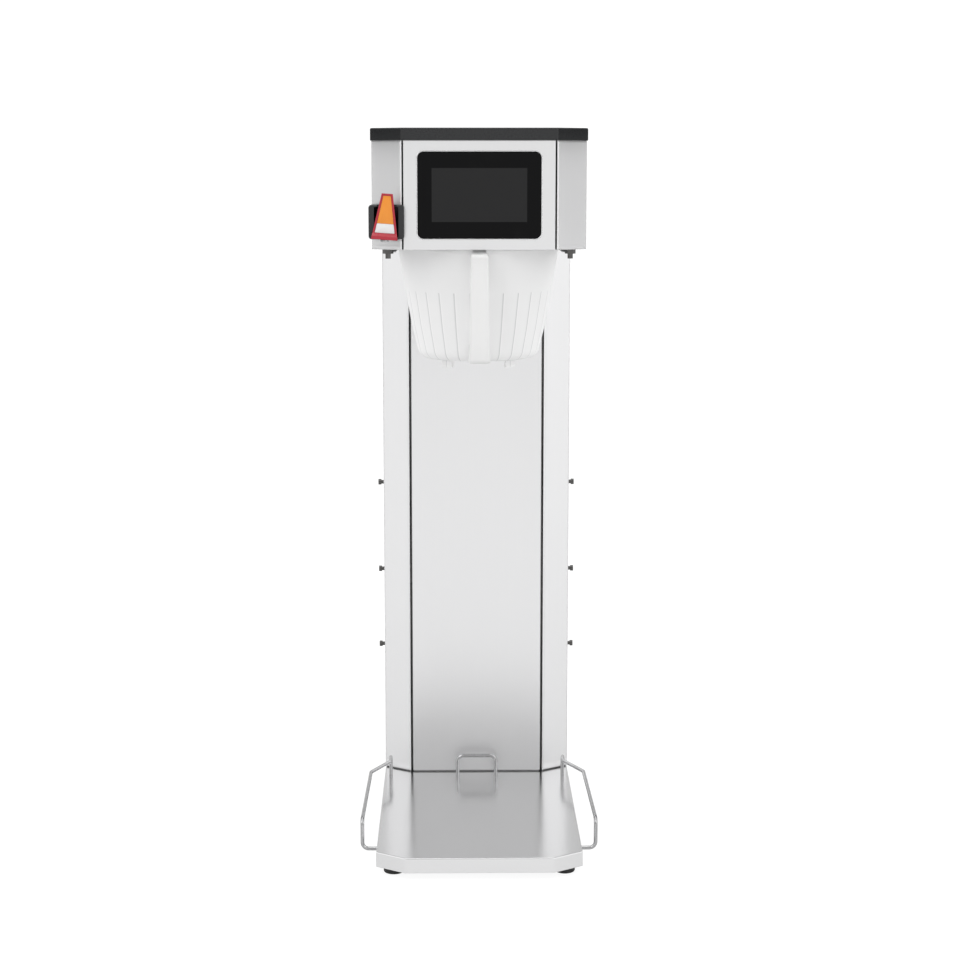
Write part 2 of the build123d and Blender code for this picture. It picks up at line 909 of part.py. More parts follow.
def make_board():
    """Control board with chip, connectors and capacitors."""
    half = board_width / 2
    rise = board_height / 2
    back = board_y + board_thickness
    board = block(-half, half, board_y, back, display_z - rise, display_z + rise)
    chip_far = back + chip_depth
    board += block(-chip_width / 2, chip_width / 2, back, chip_far, display_z, display_z + chip_height)
    for side in (-1, 1):
        x = side * half / 2
        left = x - connector_width / 2
        low = display_z - rise + connector_height
        far = back + connector_depth
        board += block(left, left + connector_width, back, far, low, low + connector_height)
        board += bar_back(x, display_z + rise / 2, back, back + capacitor_length, capacitor_radius)
    return board


def make_supply():
    """Power supply in a slotted cage on the head's bottom plate."""
    near = front_y + supply_setback
    far = near + supply_depth
    half = supply_width / 2
    low = soffit_z + sheet
    high = low + supply_height
    case = block(-half, half, near, far, low, high)
    wall = supply_wall
    case -= block(-half + wall, half - wall, near + wall, far - wall, low + wall, high - wall)
    inset = supply_slot_inset
    pitch = supply_width / (supply_slots + 1)
    for number in range(supply_slots):
        left = -half + pitch * (number + 1) - supply_slot_width / 2
        right = left + supply_slot_width
        case -= block(left, right, near + inset, far - inset, high - overrun, high + overrun)
    return Pos(supply_side) * case


def make_heat_sink():
    """Finned heat sink with its relay, on the base under the tank."""
    left = electrics_side - heat_sink_depth / 2
    near = electrics_y
    far = near + heat_sink_width
    base_high = base_top + heat_sink_base
    sink = block(left, left + heat_sink_depth, near, far, base_top, base_high)
    pitch = (heat_sink_depth - heat_sink_fin) / (heat_sink_fins - 1)
    for number in range(heat_sink_fins):
        fin = left + number * pitch
        depth = heat_sink_width - relay_depth - heat_sink_fin
        sink += block(fin, fin + heat_sink_fin, near, near + depth, base_top, base_top + heat_sink_height)
    left = electrics_side - relay_width / 2
    return sink + block(left, left + relay_width, far - relay_depth, far, base_high, base_high + relay_height)


def make_terminals():
    """Terminal block with one screw for each pole."""
    left = -electrics_side - terminal_width / 2
    right = left + terminal_width
    near = electrics_y
    far = near + terminal_depth
    high = base_top + terminal_height
    ledge = high - terminal_step
    body = block(left, right, near, far, base_top, ledge)
    body += block(left, right, near + terminal_step, far - terminal_step, base_top, high)
    pitch = terminal_width / terminal_poles
    screw_y = near + terminal_step / 2
    for number in range(terminal_poles):
        x = left + pitch / 2 + pitch * number
        body += post(x, screw_y, ledge, high - terminal_step / 2, terminal_screw_radius)
    return body


def make_switch_housing():
    """Switch housing snapped into the rear panel, open behind for its rocker."""
    near = rear_y - switch_depth
    far = rear_y + switch_bezel_depth
    body = switch_block(0, near, rear_y)
    body += switch_block(switch_bezel, rear_y, far)
    body -= switch_block(-switch_wall, rear_y - rocker_well, far + overrun)
    left = switch_x - switch_pin_width / 2
    right = switch_x + switch_pin_width / 2
    for number in range(switch_pins):
        low = switch_z + (number - (switch_pins - 1) / 2) * switch_pin_width - switch_pin_thickness / 2
        body += block(left, right, near - switch_pin_length, near, low, low + switch_pin_thickness)
    reach = switch_width / 2 - switch_wall / 2
    hole_radius = rocker_pin_radius + rocker_pin_clearance
    return body - bar_across(rocker_y, switch_z, switch_x - reach, switch_x + reach, hole_radius)


def switch_block(grow, near, far):
    """Box on the switch's outline, grown or shrunk."""
    half = switch_width / 2 + grow
    rise = switch_height / 2 + grow
    return block(switch_x - half, switch_x + half, near, far, switch_z - rise, switch_z + rise)


def make_rocker():
    """Rocker on its two trunnions, tipped to its off side."""
    half = switch_width / 2 - switch_wall - rocker_gap
    rise = switch_height / 2 - switch_wall - rocker_gap - rocker_proud / 2
    face = rocker_pivot_depth + switch_bezel_depth + rocker_proud
    points = [
        (-rocker_depth / 2, -rise),
        (face - rocker_proud, -rise),
        (face - rocker_proud - rocker_dish, 0),
        (face - rocker_proud, rise),
        (-rocker_depth / 2, rise),
        (-rocker_depth, 0),
    ]
    profile = Plane.YZ * make_face(Polyline(*points, close=True))
    body = Pos(-half, 0, 0) * extrude(profile, amount=half * 2, dir=(1, 0, 0))
    reach = half + rocker_gap + switch_wall / 2 - rocker_pin_clearance
    body += bar_across(0, 0, -reach, reach, rocker_pin_radius)
    return Pos(switch_x, rocker_y, switch_z) * Rot(-rocker_tilt, 0, 0) * body


def make_gland():
    """Cord gland: flanged bush through the rear panel with its nut, bored for the cord."""
    near = rear_y - gland_inside
    gland = bar_back(gland_x, gland_z, near, rear_y + gland_flange, gland_neck_radius)
    gland += bar_back(gland_x, gland_z, rear_y, rear_y + gland_flange, gland_flange_radius)
    dome = Cone(gland_flange_radius - sheet, gland_neck_radius, gland_outside - gland_flange)
    gland += Pos(gland_x, rear_y + (gland_flange + gland_outside) / 2, gland_z) * Rot(-90, 0, 0) * dome
    gland += hex_back(gland_x, gland_z, inner_rear_y - gland_nut, inner_rear_y, gland_flange_radius)
    far = rear_y + gland_outside + overrun
    return gland - bar_back(gland_x, gland_z, near - overrun, far, gland_bore_radius)


def tank_outline(grow):
    """Tank plan, grown or shrunk."""
    outline = RectangleRounded(tank_width + grow * 2, tank_depth + grow * 2, tank_corner + grow)
    return Pos(0, tank_middle) * outline


def make_tank():
    """Tank: rounded vessel with a rim, open above, ports at its bottom."""
    tank = prism(tank_outline(0), tank_low, tank_high)
    tank -= prism(tank_outline(-tank_wall), tank_low + tank_wall, tank_high)
    band = tank_outline(tank_rim) - tank_outline(-tank_wall)
    tank += prism(band, tank_high - tank_rim_thickness, tank_high)
    low = tank_low - port_length
    high = tank_low + tank_wall
    tank += post(inlet_x, tank_middle, low, high, port_radius)
    return tank - post(inlet_x, tank_middle, low - overrun, high + overrun, tube_bore)


def make_gasket():
    """Silicone gasket between tank rim and lid."""
    band = tank_outline(tank_rim) - tank_outline(-tank_wall)
    return prism(band, tank_high, lid_low)


def make_tank_lid():
    """Tank lid with holes for elements and probes and two outlet ports."""
    lid = prism(tank_outline(tank_rim), lid_low, lid_high)
    low = lid_low - overrun
    high = lid_high + overrun
    for x in element_legs():
        for y in (tank_middle - element_spread, tank_middle + element_spread):
            lid -= post(x, y, low, high, element_radius + stud_clearance)
    for x in (-probe_side, probe_side):
        lid -= post(x, tank_middle, low, high, probe_radius + fit_gap)
    for x, rise in ((0, dispense_riser), (faucet_port_x, port_length)):
        lid += post(x, port_y, lid_low, lid_high + rise, port_radius)
        lid -= post(x, port_y, low, high + rise, tube_bore)
    return lid


def element_legs():
    """Sides on which the heating elements hang."""
    return (-element_side, element_side)


def make_elements():
    """Heating elements: U-shaped tubes through the lid with nuts and terminals."""
    elements = []
    high = lid_high + element_terminal
    low = lid_low - element_length
    for x in element_legs():
        points = [
            (x, tank_middle - element_spread, high),
            (x, tank_middle - element_spread, low),
            (x, tank_middle + element_spread, low),
            (x, tank_middle + element_spread, high),
        ]
        element = bent_wire(points, element_bend, element_radius)
        for y in (tank_middle - element_spread, tank_middle + element_spread):
            element += hexagon(x, y, lid_high, lid_high + element_nut, element_nut_radius)
        elements.append(element)
    return elements


def make_probe(x, length):
    """Probe rod hanging from an insulating boss on the lid."""
    probe = post(x, tank_middle, lid_high - length, lid_high + probe_boss * 2, probe_radius)
    return probe + post(x, tank_middle, lid_high, lid_high + probe_boss, probe_boss_radius)


def make_thermostat():
    """Limit thermostat: disc on the tank's front wall."""
    z = tank_low + tank_height * thermostat_rise_share
    face_y = tank_near - thermostat_thickness
    disc = bar_back(0, z, face_y, tank_near, thermostat_radius)
    return disc + bar_back(0, z, tank_near - thermostat_stem, face_y, thermostat_stem_radius)


def make_shelf():
    """Tank shelf across the column: plate with down-turned sides and an opening below the tank."""
    half = half_width - sheet - shelf_side_gap
    near = column_y + return_depth + sheet
    far = inner_rear_y - rear_flange
    shelf = block(-half, half, near, far, tank_low - sheet, tank_low)
    low = tank_low - shelf_flange
    for side in (-1, 1):
        edge = side * (half - sheet / 2)
        shelf += block(edge - sheet / 2, edge + sheet / 2, near + chamfer_depth, far, low, tank_low)
    opening = tank_depth * shelf_opening_share / 2
    left = -tank_width * shelf_opening_share / 2
    right = inlet_x + port_radius * 2
    front = tank_middle - opening
    shelf -= block(left, right, front, front + opening * 2, tank_low - overrun, tank_low + overrun)
    corner_far = column_y + chamfer_depth + overrun
    corner = [
        (seam_x, near - overrun),
        (half_width + overrun, near - overrun),
        (half_width + overrun, corner_far),
        (half + fit_gap, corner_far),
        (seam_x, near),
    ]
    cut = prism(make_face(Polyline(*corner, close=True)), low, tank_low + overrun)
    return shelf - cut - mirror(cut, about=Plane.YZ)


def make_inlet_fitting():
    """Flare fitting for the water line, through the rear panel."""
    near = inner_rear_y - inlet_shank_length
    tip = rear_y + inlet_reach
    flare = tip - inlet_flare_length
    fitting = bar_back(inlet_x, inlet_z, flare, tip, inlet_flare_radius)
    fitting += hex_back(inlet_x, inlet_z, rear_y, rear_y + inlet_hex, inlet_hex_radius)
    fitting += bar_back(inlet_x, inlet_z, rear_y + inlet_hex, flare, inlet_shank_radius)
    fitting += bar_back(inlet_x, inlet_z, near, rear_y, inlet_shank_radius)
    return fitting - bar_back(inlet_x, inlet_z, near - overrun, tip + overrun, inlet_bore_radius)


def make_inlet_valve():
    """Inlet solenoid valve: brass body on the fitting, coil above, outlet on top at the front."""
    near = valve_y
    far = valve_y + valve_body_depth
    half = valve_body_width / 2
    low = inlet_z - valve_body_height / 2
    high = inlet_z + valve_body_height / 2
    valve = block(inlet_x - half, inlet_x + half, near, far, low, high)
    coil_y = far - valve_coil_radius
    coil_top = high + valve_coil_height
    valve += post(inlet_x, coil_y, high, coil_top, valve_coil_radius)
    valve += post(inlet_x, coil_y, coil_top, coil_top + valve_cap_height, valve_cap_radius)
    valve += bar_back(inlet_x, inlet_z, near - port_length, near, port_radius)
    return valve - bar_back(inlet_x, inlet_z, near - port_length - overrun, near + port_length, tube_bore)


def make_fill_tube():
    """Tube from the inlet valve up to the tank's bottom port."""
    start = valve_y - port_length
    points = [
        (inlet_x, start, inlet_z),
        (inlet_x, tank_middle, inlet_z),
        (inlet_x, tank_middle, tank_low - port_length),
    ]
    return bent_wire(points, tube_bend, tube_radius, tube_bore)


def make_dispense_valve():
    """Dispense valve on the tank lid: body over the port, coil above, outlet to the front."""
    half = valve_body_width / 2
    low = lid_high + dispense_riser
    high = low + valve_body_height
    valve = block(-half, half, port_y - half, port_y + half, low, high)
    valve += post(0, port_y, high, high + valve_coil_height, dispense_coil_radius)
    middle = (low + high) / 2
    valve += bar_back(0, middle, port_y - half - port_length, port_y - half, port_radius)
    valve -= bar_back(0, middle, port_y - half - port_length - overrun, port_y, tube_bore)
    return valve - post(0, port_y, low - overrun, middle, tube_bore)


def make_dispense_tube():
    """Tube from the dispense valve forward and down to the spray fitting."""
    middle = lid_high + dispense_riser + valve_body_height / 2
    points = [
        (0, port_y - valve_body_width / 2 - port_length, middle),
        (0, funnel_y, middle),
        (0, funnel_y, fitting_top),
    ]
    return bent_wire(points, dispense_bend, tube_radius, tube_bore)


def make_spray_fitting():
    """Fitting on the head's bottom plate that clamps the sprayhead's neck."""
    fitting = hexagon(0, funnel_y, fitting_low, fitting_low + fitting_height / 2, fitting_radius)
    fitting += post(0, funnel_y, fitting_low + fitting_height / 2, fitting_top, port_radius)
    fitting -= post(0, funnel_y, fitting_low - overrun, neck_top, spray_neck_radius)
    return fitting - post(0, funnel_y, fitting_low, fitting_top + overrun, tube_bore)


def make_sprayhead():
    """Sprayhead: thin pierced disc on a neck through the plate."""
    high = soffit_z - face_gap
    low = high - spray_thickness
    disc = post(0, funnel_y, low, high, spray_radius)
    top = neck_top
    disc += post(0, funnel_y, low, top, spray_neck_radius)
    disc -= post(0, funnel_y, low + sheet, top + overrun, spray_bore)
    disc -= post(0, funnel_y, low - overrun, top, spray_hole_radius)
    for number in range(spray_holes):
        angle = math.tau * number / spray_holes
        x = spray_ring_radius * math.cos(angle)
        y = funnel_y + spray_ring_radius * math.sin(angle)
        disc -= post(x, y, low - overrun, high + overrun, spray_hole_radius)
    return disc


def bowl_profile(shrink, low):
    """Half profile of the bowl on the XZ plane, from the axis to the rim."""
    waist_z = funnel_top - funnel_waist_drop
    path = FilletPolyline(
        (0, low),
        (funnel_foot_radius - shrink, low),
        (funnel_waist_radius - shrink, waist_z),
        (funnel_top_radius - shrink, funnel_top),
        radius=[funnel_foot_blend - shrink, funnel_waist_blend],
    )
    close = Polyline((funnel_top_radius - shrink, funnel_top), (0, funnel_top), (0, low))
    return make_face(path.edges() + close.edges())


def turned(profile):
    """Solid of revolution about the funnel's axis."""
    return Pos(0, funnel_y, 0) * revolve(Plane.XZ * profile, axis=Axis.Z)


def splash_crescent(grow):
    """Splash lip under the rim's front, deepest at the middle, grown to clear the handle."""
    lip_radius = funnel_top_radius + splash_lip_wall + grow
    drop = splash_lip + grow
    near = funnel_y - lip_radius
    far = near + splash_lip_run * drop / splash_lip
    wedge = make_face(Polyline((near, flange_low), (near, flange_low - drop), (far, flange_low), close=True))
    band = extrude(Plane.YZ * wedge, amount=lip_radius * 2, dir=(1, 0, 0))
    return post(0, funnel_y, flange_low - drop, flange_low, lip_radius) & (Pos(-lip_radius, 0, 0) * band)


def make_bowl():
    """Bowl: tapered shell with rim flange, splash lip, inner ribs, outlet and feet."""
    outer = turned(bowl_profile(0, funnel_low))
    inner = turned(bowl_profile(funnel_wall, funnel_low + funnel_wall))
    flange = post(0, funnel_y, flange_low, flange_high, funnel_flange_radius)
    mouth = post(0, funnel_y, flange_low - overrun, flange_high + overrun, funnel_top_radius - funnel_wall)
    bowl = outer + flange + splash_crescent(0)
    notch_y = funnel_y - funnel_flange_radius
    half = flange_notch_width / 2
    far = notch_y + flange_notch_depth
    bowl -= block(-half, half, notch_y - overrun, far, flange_low, flange_high + overrun)
    bowl = bowl - inner - mouth
    ribs = []
    rib_step = math.degrees(math.tau / funnel_ribs)
    rib_top = funnel_low + funnel_wall + rib_height
    for number in range(funnel_ribs):
        rib = block(0, funnel_top_radius, -rib_thickness / 2, rib_thickness / 2, funnel_low, rib_top)
        ribs.append(Pos(0, funnel_y, 0) * Rot(0, 0, rib_step / 2 + rib_step * number) * rib)
    band = turned(bowl_profile(funnel_wall - rib_root, funnel_low + funnel_wall / 2))
    band -= turned(bowl_profile(funnel_wall + rib_depth, funnel_low + funnel_wall + rib_depth))
    bowl += (Part() + ribs) & band
    bowl += post(0, funnel_y, funnel_low - outlet_length, funnel_low + funnel_wall / 2, outlet_radius)
    bowl -= post(0, funnel_y, funnel_low - outlet_length - overrun, funnel_low + overrun, outlet_bore)
    half = funnel_foot_width / 2
    low = funnel_low - funnel_foot_height
    reach = funnel_foot_reach + funnel_foot_depth
    foot = block(funnel_foot_reach, reach, -half, half, low, funnel_low + funnel_wall / 2)
    foot_step = math.degrees(math.tau / funnel_feet)
    for number in range(funnel_feet):
        bowl += Pos(0, funnel_y, 0) * Rot(0, 0, foot_step / 2 + foot_step * number) * foot
    return bowl


def make_handle():
    """Handle: upright grip joined to the bowl above and below, drafted and rounded."""
    near = front_y + handle_front_setback
    back = near + handle_thickness
    high = funnel_top - handle_top_drop
    low = funnel_low + handle_low_rise
    corners = [
        (near, low),
        (near, high),
        (funnel_y, high),
        (funnel_y, high - handle_bridge),
        (back, high - handle_bridge),
        (back, low + handle_foot_height),
        (funnel_y, low + handle_foot_height),
        (funnel_y, low),
    ]
    bend = handle_end_radius
    side_view = make_face(FilletPolyline(*corners, radius=[bend, bend, 0, 0, bend, bend, 0, 0], close=True))
    shape = Pos(-half_width, 0, 0) * extrude(Plane.YZ * side_view, amount=body_width, dir=(1, 0, 0))
    front_view = [
        (-handle_foot_width / 2, low),
        (handle_foot_width / 2, low),
        (handle_low_width / 2, low + handle_foot_height),
        (handle_top_width / 2, high),
        (-handle_top_width / 2, high),
        (-handle_low_width / 2, low + handle_foot_height),
    ]
    front_face = Plane.XZ * make_face(Polyline(*front_view, close=True))
    shape = shape & (Pos(0, front_y, 0) * extrude(front_face, amount=overall_depth, dir=(0, 1, 0)))
    side_edges = shape.edges().filter_by(lambda edge: abs(edge.center().X) > handle_edge_radius)
    front_edges = side_edges.filter_by(lambda edge: edge.center().Y < near + handle_edge_radius)
    shape = fillet(front_edges, handle_edge_radius)
    return shape - turned(bowl_profile(-bond_gap, funnel_low - bond_gap)) - splash_crescent(bond_gap)


def at_corner(shape):
    """Moves a piece from a frame that faces -Y to the slanting corner, where the shank passes."""
    return Pos(faucet_x, faucet_y, 0) * Rot(0, 0, faucet_turn) * shape


def at_stem(shape):
    """Moves a piece of the upright barrel or lever to the stem's place. It still faces -Y."""
    return Pos(stem_x, stem_place_y - stem_y, 0) * shape


def upright_box(width, height, corner, near, far):
    """Rounded box that faces forward, centred on the slanting corner and on the guard's height."""
    face = Plane.XZ * RectangleRounded(width, height, corner)
    return Pos(guard_x, near, (guard_low + guard_high) / 2) * extrude(face, amount=far - near, dir=(0, 1, 0))


def make_guard():
    """Guard: rounded shroud that faces forward, its back fitted to the slanting corner."""
    near = head_y - guard_proud
    far = head_y + chamfer_depth
    outer = upright_box(guard_width, guard_height, guard_corner, near, far)
    outer = chamfer(outer.edges().group_by(Axis.Y)[0], length=guard_edge)
    inner_width = guard_width - guard_wall * 2
    inner_height = guard_height - guard_wall * 2
    hollow = upright_box(inner_width, inner_height, guard_corner - guard_wall, near + guard_face, far)
    hollow -= prism(plan(head_y, -guard_back), guard_low, guard_high)
    mouth = upright_box(guard_width - guard_side_rim * 2, inner_height, guard_edge, near, near + guard_face)
    guard = outer - hollow - mouth - prism(plan(head_y), guard_low, guard_high)
    lean_shift = (guard_high - head_low - lever_low) * math.tan(math.radians(lever_lean))
    left = stem_x + lean_shift - guard_notch_width / 2
    right = stem_x + lean_shift + guard_notch_width / 2
    guard -= block(left, right, near, near + guard_notch_depth, guard_high - guard_corner, guard_high)
    half = spout_radius + spout_notch_gap
    guard -= block(stem_x - half, stem_x + half, near, stem_place_y, guard_low, guard_low + guard_corner)
    guard -= post(stem_x, stem_place_y, guard_low, guard_low + guard_corner, half)
    return guard - at_corner(bar_back(0, shank_z, stem_y, overrun, shank_radius + fit_gap))


def make_faucet_body():
    """Faucet body: barrel with chamber and seat, spout, lug for the lever's pin, and shouldered shank."""
    body = post(0, stem_y, barrel_floor, barrel_top, barrel_radius)
    body += post(0, stem_y, head_low + spout_low, barrel_floor, spout_radius)
    lug_near = stem_y + stem_radius + lug_front_gap
    lug_far = pivot_y + pivot_radius + lug_back_wall
    lug_top = pivot_z + lug_height / 2
    body += block(-lug_width / 2, lug_width / 2, lug_near, lug_far, barrel_top - barrel_cap, lug_top)
    body = at_stem(body)
    shank = bar_back(0, shank_z, stem_y, shank_length, shank_radius)
    shank += bar_back(0, shank_z, stem_y, -guard_back, shank_shoulder_radius)
    body += at_corner(shank)
    seat = barrel_floor + seat_thickness
    chamber = post(0, stem_y, seat, barrel_top - barrel_cap, barrel_bore)
    chamber += post(0, stem_y, head_low, seat, spout_bore)
    chamber += post(0, stem_y, seat, barrel_top + overrun, stem_radius + stem_clearance)
    chamber += bar_across(pivot_y, pivot_z, -lug_width, lug_width, pivot_radius)
    body -= at_stem(chamber)
    return body - at_corner(bar_back(0, shank_z, stem_y, shank_length + overrun, shank_bore))


def shank_hole():
    """Hole for the faucet's shank in the left side panel's slanting corner."""
    return at_corner(bar_back(0, shank_z, -overrun, overrun, shank_radius + fit_gap))


def make_faucet_nut():
    """Nut that holds the faucet from inside the head."""
    nut = hex_back(0, shank_z, sheet, sheet + nut_height, nut_radius)
    return at_corner(nut - bar_back(0, shank_z, 0, shank_length, shank_radius + bond_gap))


def make_seat_cup():
    """Silicone cup that closes the seat."""
    low = barrel_floor + seat_thickness + seat_gap
    middle = low + seat_cup_height / 2
    cup = post(0, stem_y, low, low + seat_cup_height, seat_cup_radius)
    return at_stem(cup - post(0, stem_y, middle, low + seat_cup_height + overrun, stem_radius))


def make_stem():
    """Stem with the cross pin that the lever lifts."""
    low = barrel_floor + seat_thickness + seat_gap + seat_cup_height / 2
    stem = post(0, stem_y, low, head_low + stem_top, stem_radius)
    reach = arm_outer - fit_gap
    return at_stem(stem + bar_across(stem_y, pivot_z, -reach, reach, cross_pin_radius))


def make_spring():
    """Spring that presses the cup on its seat."""
    low = barrel_floor + seat_thickness + seat_gap + seat_cup_height + spring_wire + face_gap
    high = barrel_top - barrel_cap - spring_wire - face_gap
    coil = Helix(pitch=(high - low) / spring_turns, height=high - low, radius=spring_radius)
    start = Plane(origin=coil @ 0, z_dir=coil % 0)
    spring = sweep(start * RegularPolygon(spring_wire, side_count=6), path=coil, is_frenet=True)
    return at_stem(Pos(0, stem_y, low) * spring)


def make_lever_plate():
    """Lever's face: tapering plate with a raised border and a lower lip, upright."""
    low = head_low + lever_low
    high = head_low + lever_high
    front = lever_back - lever_thickness
    outline = [
        (-lever_low_width / 2, low),
        (lever_low_width / 2, low),
        (lever_high_width / 2, high),
        (-lever_high_width / 2, high),
    ]
    face = make_face(Polyline(*outline, close=True))
    plate = Pos(0, front, 0) * extrude(Plane.XZ * face, amount=lever_thickness, dir=(0, 1, 0))
    field = offset(face, amount=-lever_border, kind=Kind.INTERSECTION)
    field = field & rect(-lever_low_width, lever_low_width, low + lever_lip_height, high)
    plate -= Pos(0, front, 0) * extrude(Plane.XZ * field, amount=lever_recess, dir=(0, 1, 0))
    lip_face = [
        (lever_back, low),
        (front - lever_lip_reach, low),
        (front - lever_lip_reach, low + lever_lip_height / 2),
        (front, low + lever_lip_height),
        (lever_back, low + lever_lip_height),
    ]
    lip_profile = Plane.YZ * make_face(Polyline(*lip_face, close=True))
    lip = Pos(-lever_low_width / 2, 0, 0) * extrude(lip_profile, amount=lever_low_width, dir=(1, 0, 0))
    reach = lever_thickness + lever_lip_reach
    return plate + (lip & (Pos(0, lever_back, 0) * extrude(Plane.XZ * face, amount=reach, dir=(0, -1, 0))))


def make_lever():
    """Lever: leaning face on two arms round the lug, slotted for the stem's cross pin."""
    low = head_low + lever_low
    lever = Pos(0, 0, low) * Rot(0, lever_lean, 0) * Pos(0, 0, -low) * make_lever_plate()
    hole = cross_pin_radius + cross_pin_gap
    slot_y = stem_y - slot_extra
    for side in (-1, 1):
        middle = side * (arm_inner + arm_outer) / 2
        left = middle - arm_width / 2
        right = middle + arm_width / 2
        arm = block(left, right, lever_back, pivot_y, pivot_z - arm_height / 2, pivot_z + arm_height / 2)
        arm += bar_across(pivot_y, pivot_z, left, right, arm_boss_radius)
        arm -= bar_across(pivot_y, pivot_z, left, right, pivot_radius + pivot_clearance)
        arm -= bar_across(stem_y, pivot_z, left, right, hole)
        arm -= bar_across(slot_y, pivot_z, left, right, hole)
        arm -= block(left, right, slot_y, stem_y, pivot_z - hole, pivot_z + hole)
        lever += arm
    return at_stem(lever)


def make_lever_pin():
    """Pin through the lug and the lever's arms."""
    return at_stem(bar_across(pivot_y, pivot_z, -arm_outer, arm_outer, pivot_radius))


def make_supply_tube():
    """Tube from the tank lid's port to the faucet's shank."""
    turn = math.radians(faucet_turn)
    inward = Vector(-math.sin(turn), math.cos(turn), 0)
    start = Vector(faucet_x, faucet_y, shank_z) + inward * shank_length
    points = [
        start,
        start + inward * supply_lead,
        Vector(faucet_port_x, port_y, shank_z),
        Vector(faucet_port_x, port_y, lid_high + port_length),
    ]
    return bent_wire(points, tube_bend, tube_radius, tube_bore)


def write(name, shape):
    """One STEP file for each named piece."""
    export_step(shape, os.path.join("parts", name + ".step"))


os.makedirs("parts", exist_ok=True)
side_panel = make_side_panel()
pieces = {
    "base_tray": make_base_tray(),
    "base_bottom_plate": make_bottom_plate(),
    "foot_sockets": make_sockets(),
    "locator_hoop": make_hoop(),
    "side_rail_left": make_rail(-1),
    "side_rail_right": make_rail(1),
    "rail_nuts": make_wire_nuts(),
    "side_panel_left": mirror(side_panel, about=Plane.YZ) - shank_hole(),
    "side_panel_right": side_panel,
    "column_front_panel": make_column_front(),
    "head_front_panel": make_head_front(),
    "head_bottom_plate": make_soffit(),
    "rear_panel": make_rear_panel(),
    "rear_panel_screws": make_rear_screws(),
    "top_lid": make_lid(),
    "head_studs": make_head_studs(),
    "side_shoulder_screws": make_shoulder_screws(),
    "tank_shelf": make_shelf(),
    "touch_glass": make_glass(),
    "display_module": make_module(),
    "display_bracket": make_bracket(),
    "control_board": make_board(),
    "power_supply": make_supply(),
    "relay_heat_sink": make_heat_sink(),
    "terminal_block": make_terminals(),
    "power_switch_housing": make_switch_housing(),
    "power_rocker": make_rocker(),
    "cord_gland": make_gland(),
    "tank_body": make_tank(),
    "tank_gasket": make_gasket(),
    "tank_lid": make_tank_lid(),
    "heating_elements": make_elements(),
    "level_probe": make_probe(-probe_side, level_probe_length),
    "temperature_probe": make_probe(probe_side, probe_length),
    "limit_thermostat": make_thermostat(),
    "water_inlet_fitting": make_inlet_fitting(),
    "inlet_valve": make_inlet_valve(),
    "fill_tube": make_fill_tube(),
    "dispense_valve": make_dispense_valve(),
    "dispense_tube": make_dispense_tube(),
    "spray_fitting": make_spray_fitting(),
    "sprayhead": make_sprayhead(),
    "funnel_rail_left": make_funnel_rail(-1),
    "funnel_rail_right": make_funnel_rail(1),
    "funnel_body": make_bowl(),
    "funnel_handle": make_handle(),
    "faucet_guard": make_guard(),
    "faucet_body": make_faucet_body(),
    "faucet_nut": make_faucet_nut(),
    "faucet_seat_cup": make_seat_cup(),
    "faucet_spring": make_spring(),
    "faucet_stem": make_stem(),
    "faucet_lever": make_lever(),
    "lever_pin": make_lever_pin(),
    "faucet_supply_tube": make_supply_tube(),
}
for place, (foot_x, foot_y) in foot_places().items():
    pieces["foot_" + place] = make_foot(foot_x, foot_y)
for name, shape in pieces.items():
    if isinstance(shape, list):
        shape = Compound(children=[Compound(solid.solids()) for solid in shape])
    write(name, shape)
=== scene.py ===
"""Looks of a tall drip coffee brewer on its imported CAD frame, in metres, +Z up and -Y out of the front."""

import json
import logging
import math
from collections.abc import Callable, Sequence
from dataclasses import dataclass, field
from enum import Enum
from itertools import pairwise
from typing import NamedTuple

import bmesh
import bpy
from mathutils import Matrix, Vector


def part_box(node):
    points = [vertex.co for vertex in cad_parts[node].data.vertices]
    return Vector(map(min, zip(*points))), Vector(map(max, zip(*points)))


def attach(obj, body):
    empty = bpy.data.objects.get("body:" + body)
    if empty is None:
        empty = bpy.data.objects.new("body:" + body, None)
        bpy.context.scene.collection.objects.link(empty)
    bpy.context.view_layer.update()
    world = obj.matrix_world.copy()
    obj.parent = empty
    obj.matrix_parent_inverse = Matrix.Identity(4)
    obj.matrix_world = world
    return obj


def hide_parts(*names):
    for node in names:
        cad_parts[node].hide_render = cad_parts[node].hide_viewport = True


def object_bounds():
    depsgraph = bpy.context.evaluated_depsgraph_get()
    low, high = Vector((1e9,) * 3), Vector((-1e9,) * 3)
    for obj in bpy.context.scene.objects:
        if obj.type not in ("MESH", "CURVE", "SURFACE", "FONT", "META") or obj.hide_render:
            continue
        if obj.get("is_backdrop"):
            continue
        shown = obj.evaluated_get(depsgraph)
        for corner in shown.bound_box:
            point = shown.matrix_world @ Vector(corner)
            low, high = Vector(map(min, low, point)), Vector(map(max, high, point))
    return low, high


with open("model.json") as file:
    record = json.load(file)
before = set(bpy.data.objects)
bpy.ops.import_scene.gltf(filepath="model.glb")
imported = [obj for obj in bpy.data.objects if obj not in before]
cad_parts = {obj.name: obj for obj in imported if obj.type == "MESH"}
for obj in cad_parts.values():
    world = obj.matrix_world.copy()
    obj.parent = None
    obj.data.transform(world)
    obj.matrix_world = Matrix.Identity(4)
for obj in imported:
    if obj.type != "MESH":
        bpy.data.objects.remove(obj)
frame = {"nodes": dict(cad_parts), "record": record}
cad_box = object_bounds()

log = logging.getLogger("brewer")
Colour = tuple[float, float, float]
Point = tuple[float, float, float]
Profile = Sequence[tuple[float, float]]
MM = 0.001
QUARTER_TURN = math.radians(90)
NOISE_MIDDLE = 0.5
STRAIGHT = 0.9
WHITE = (1.0, 1.0, 1.0, 1.0)


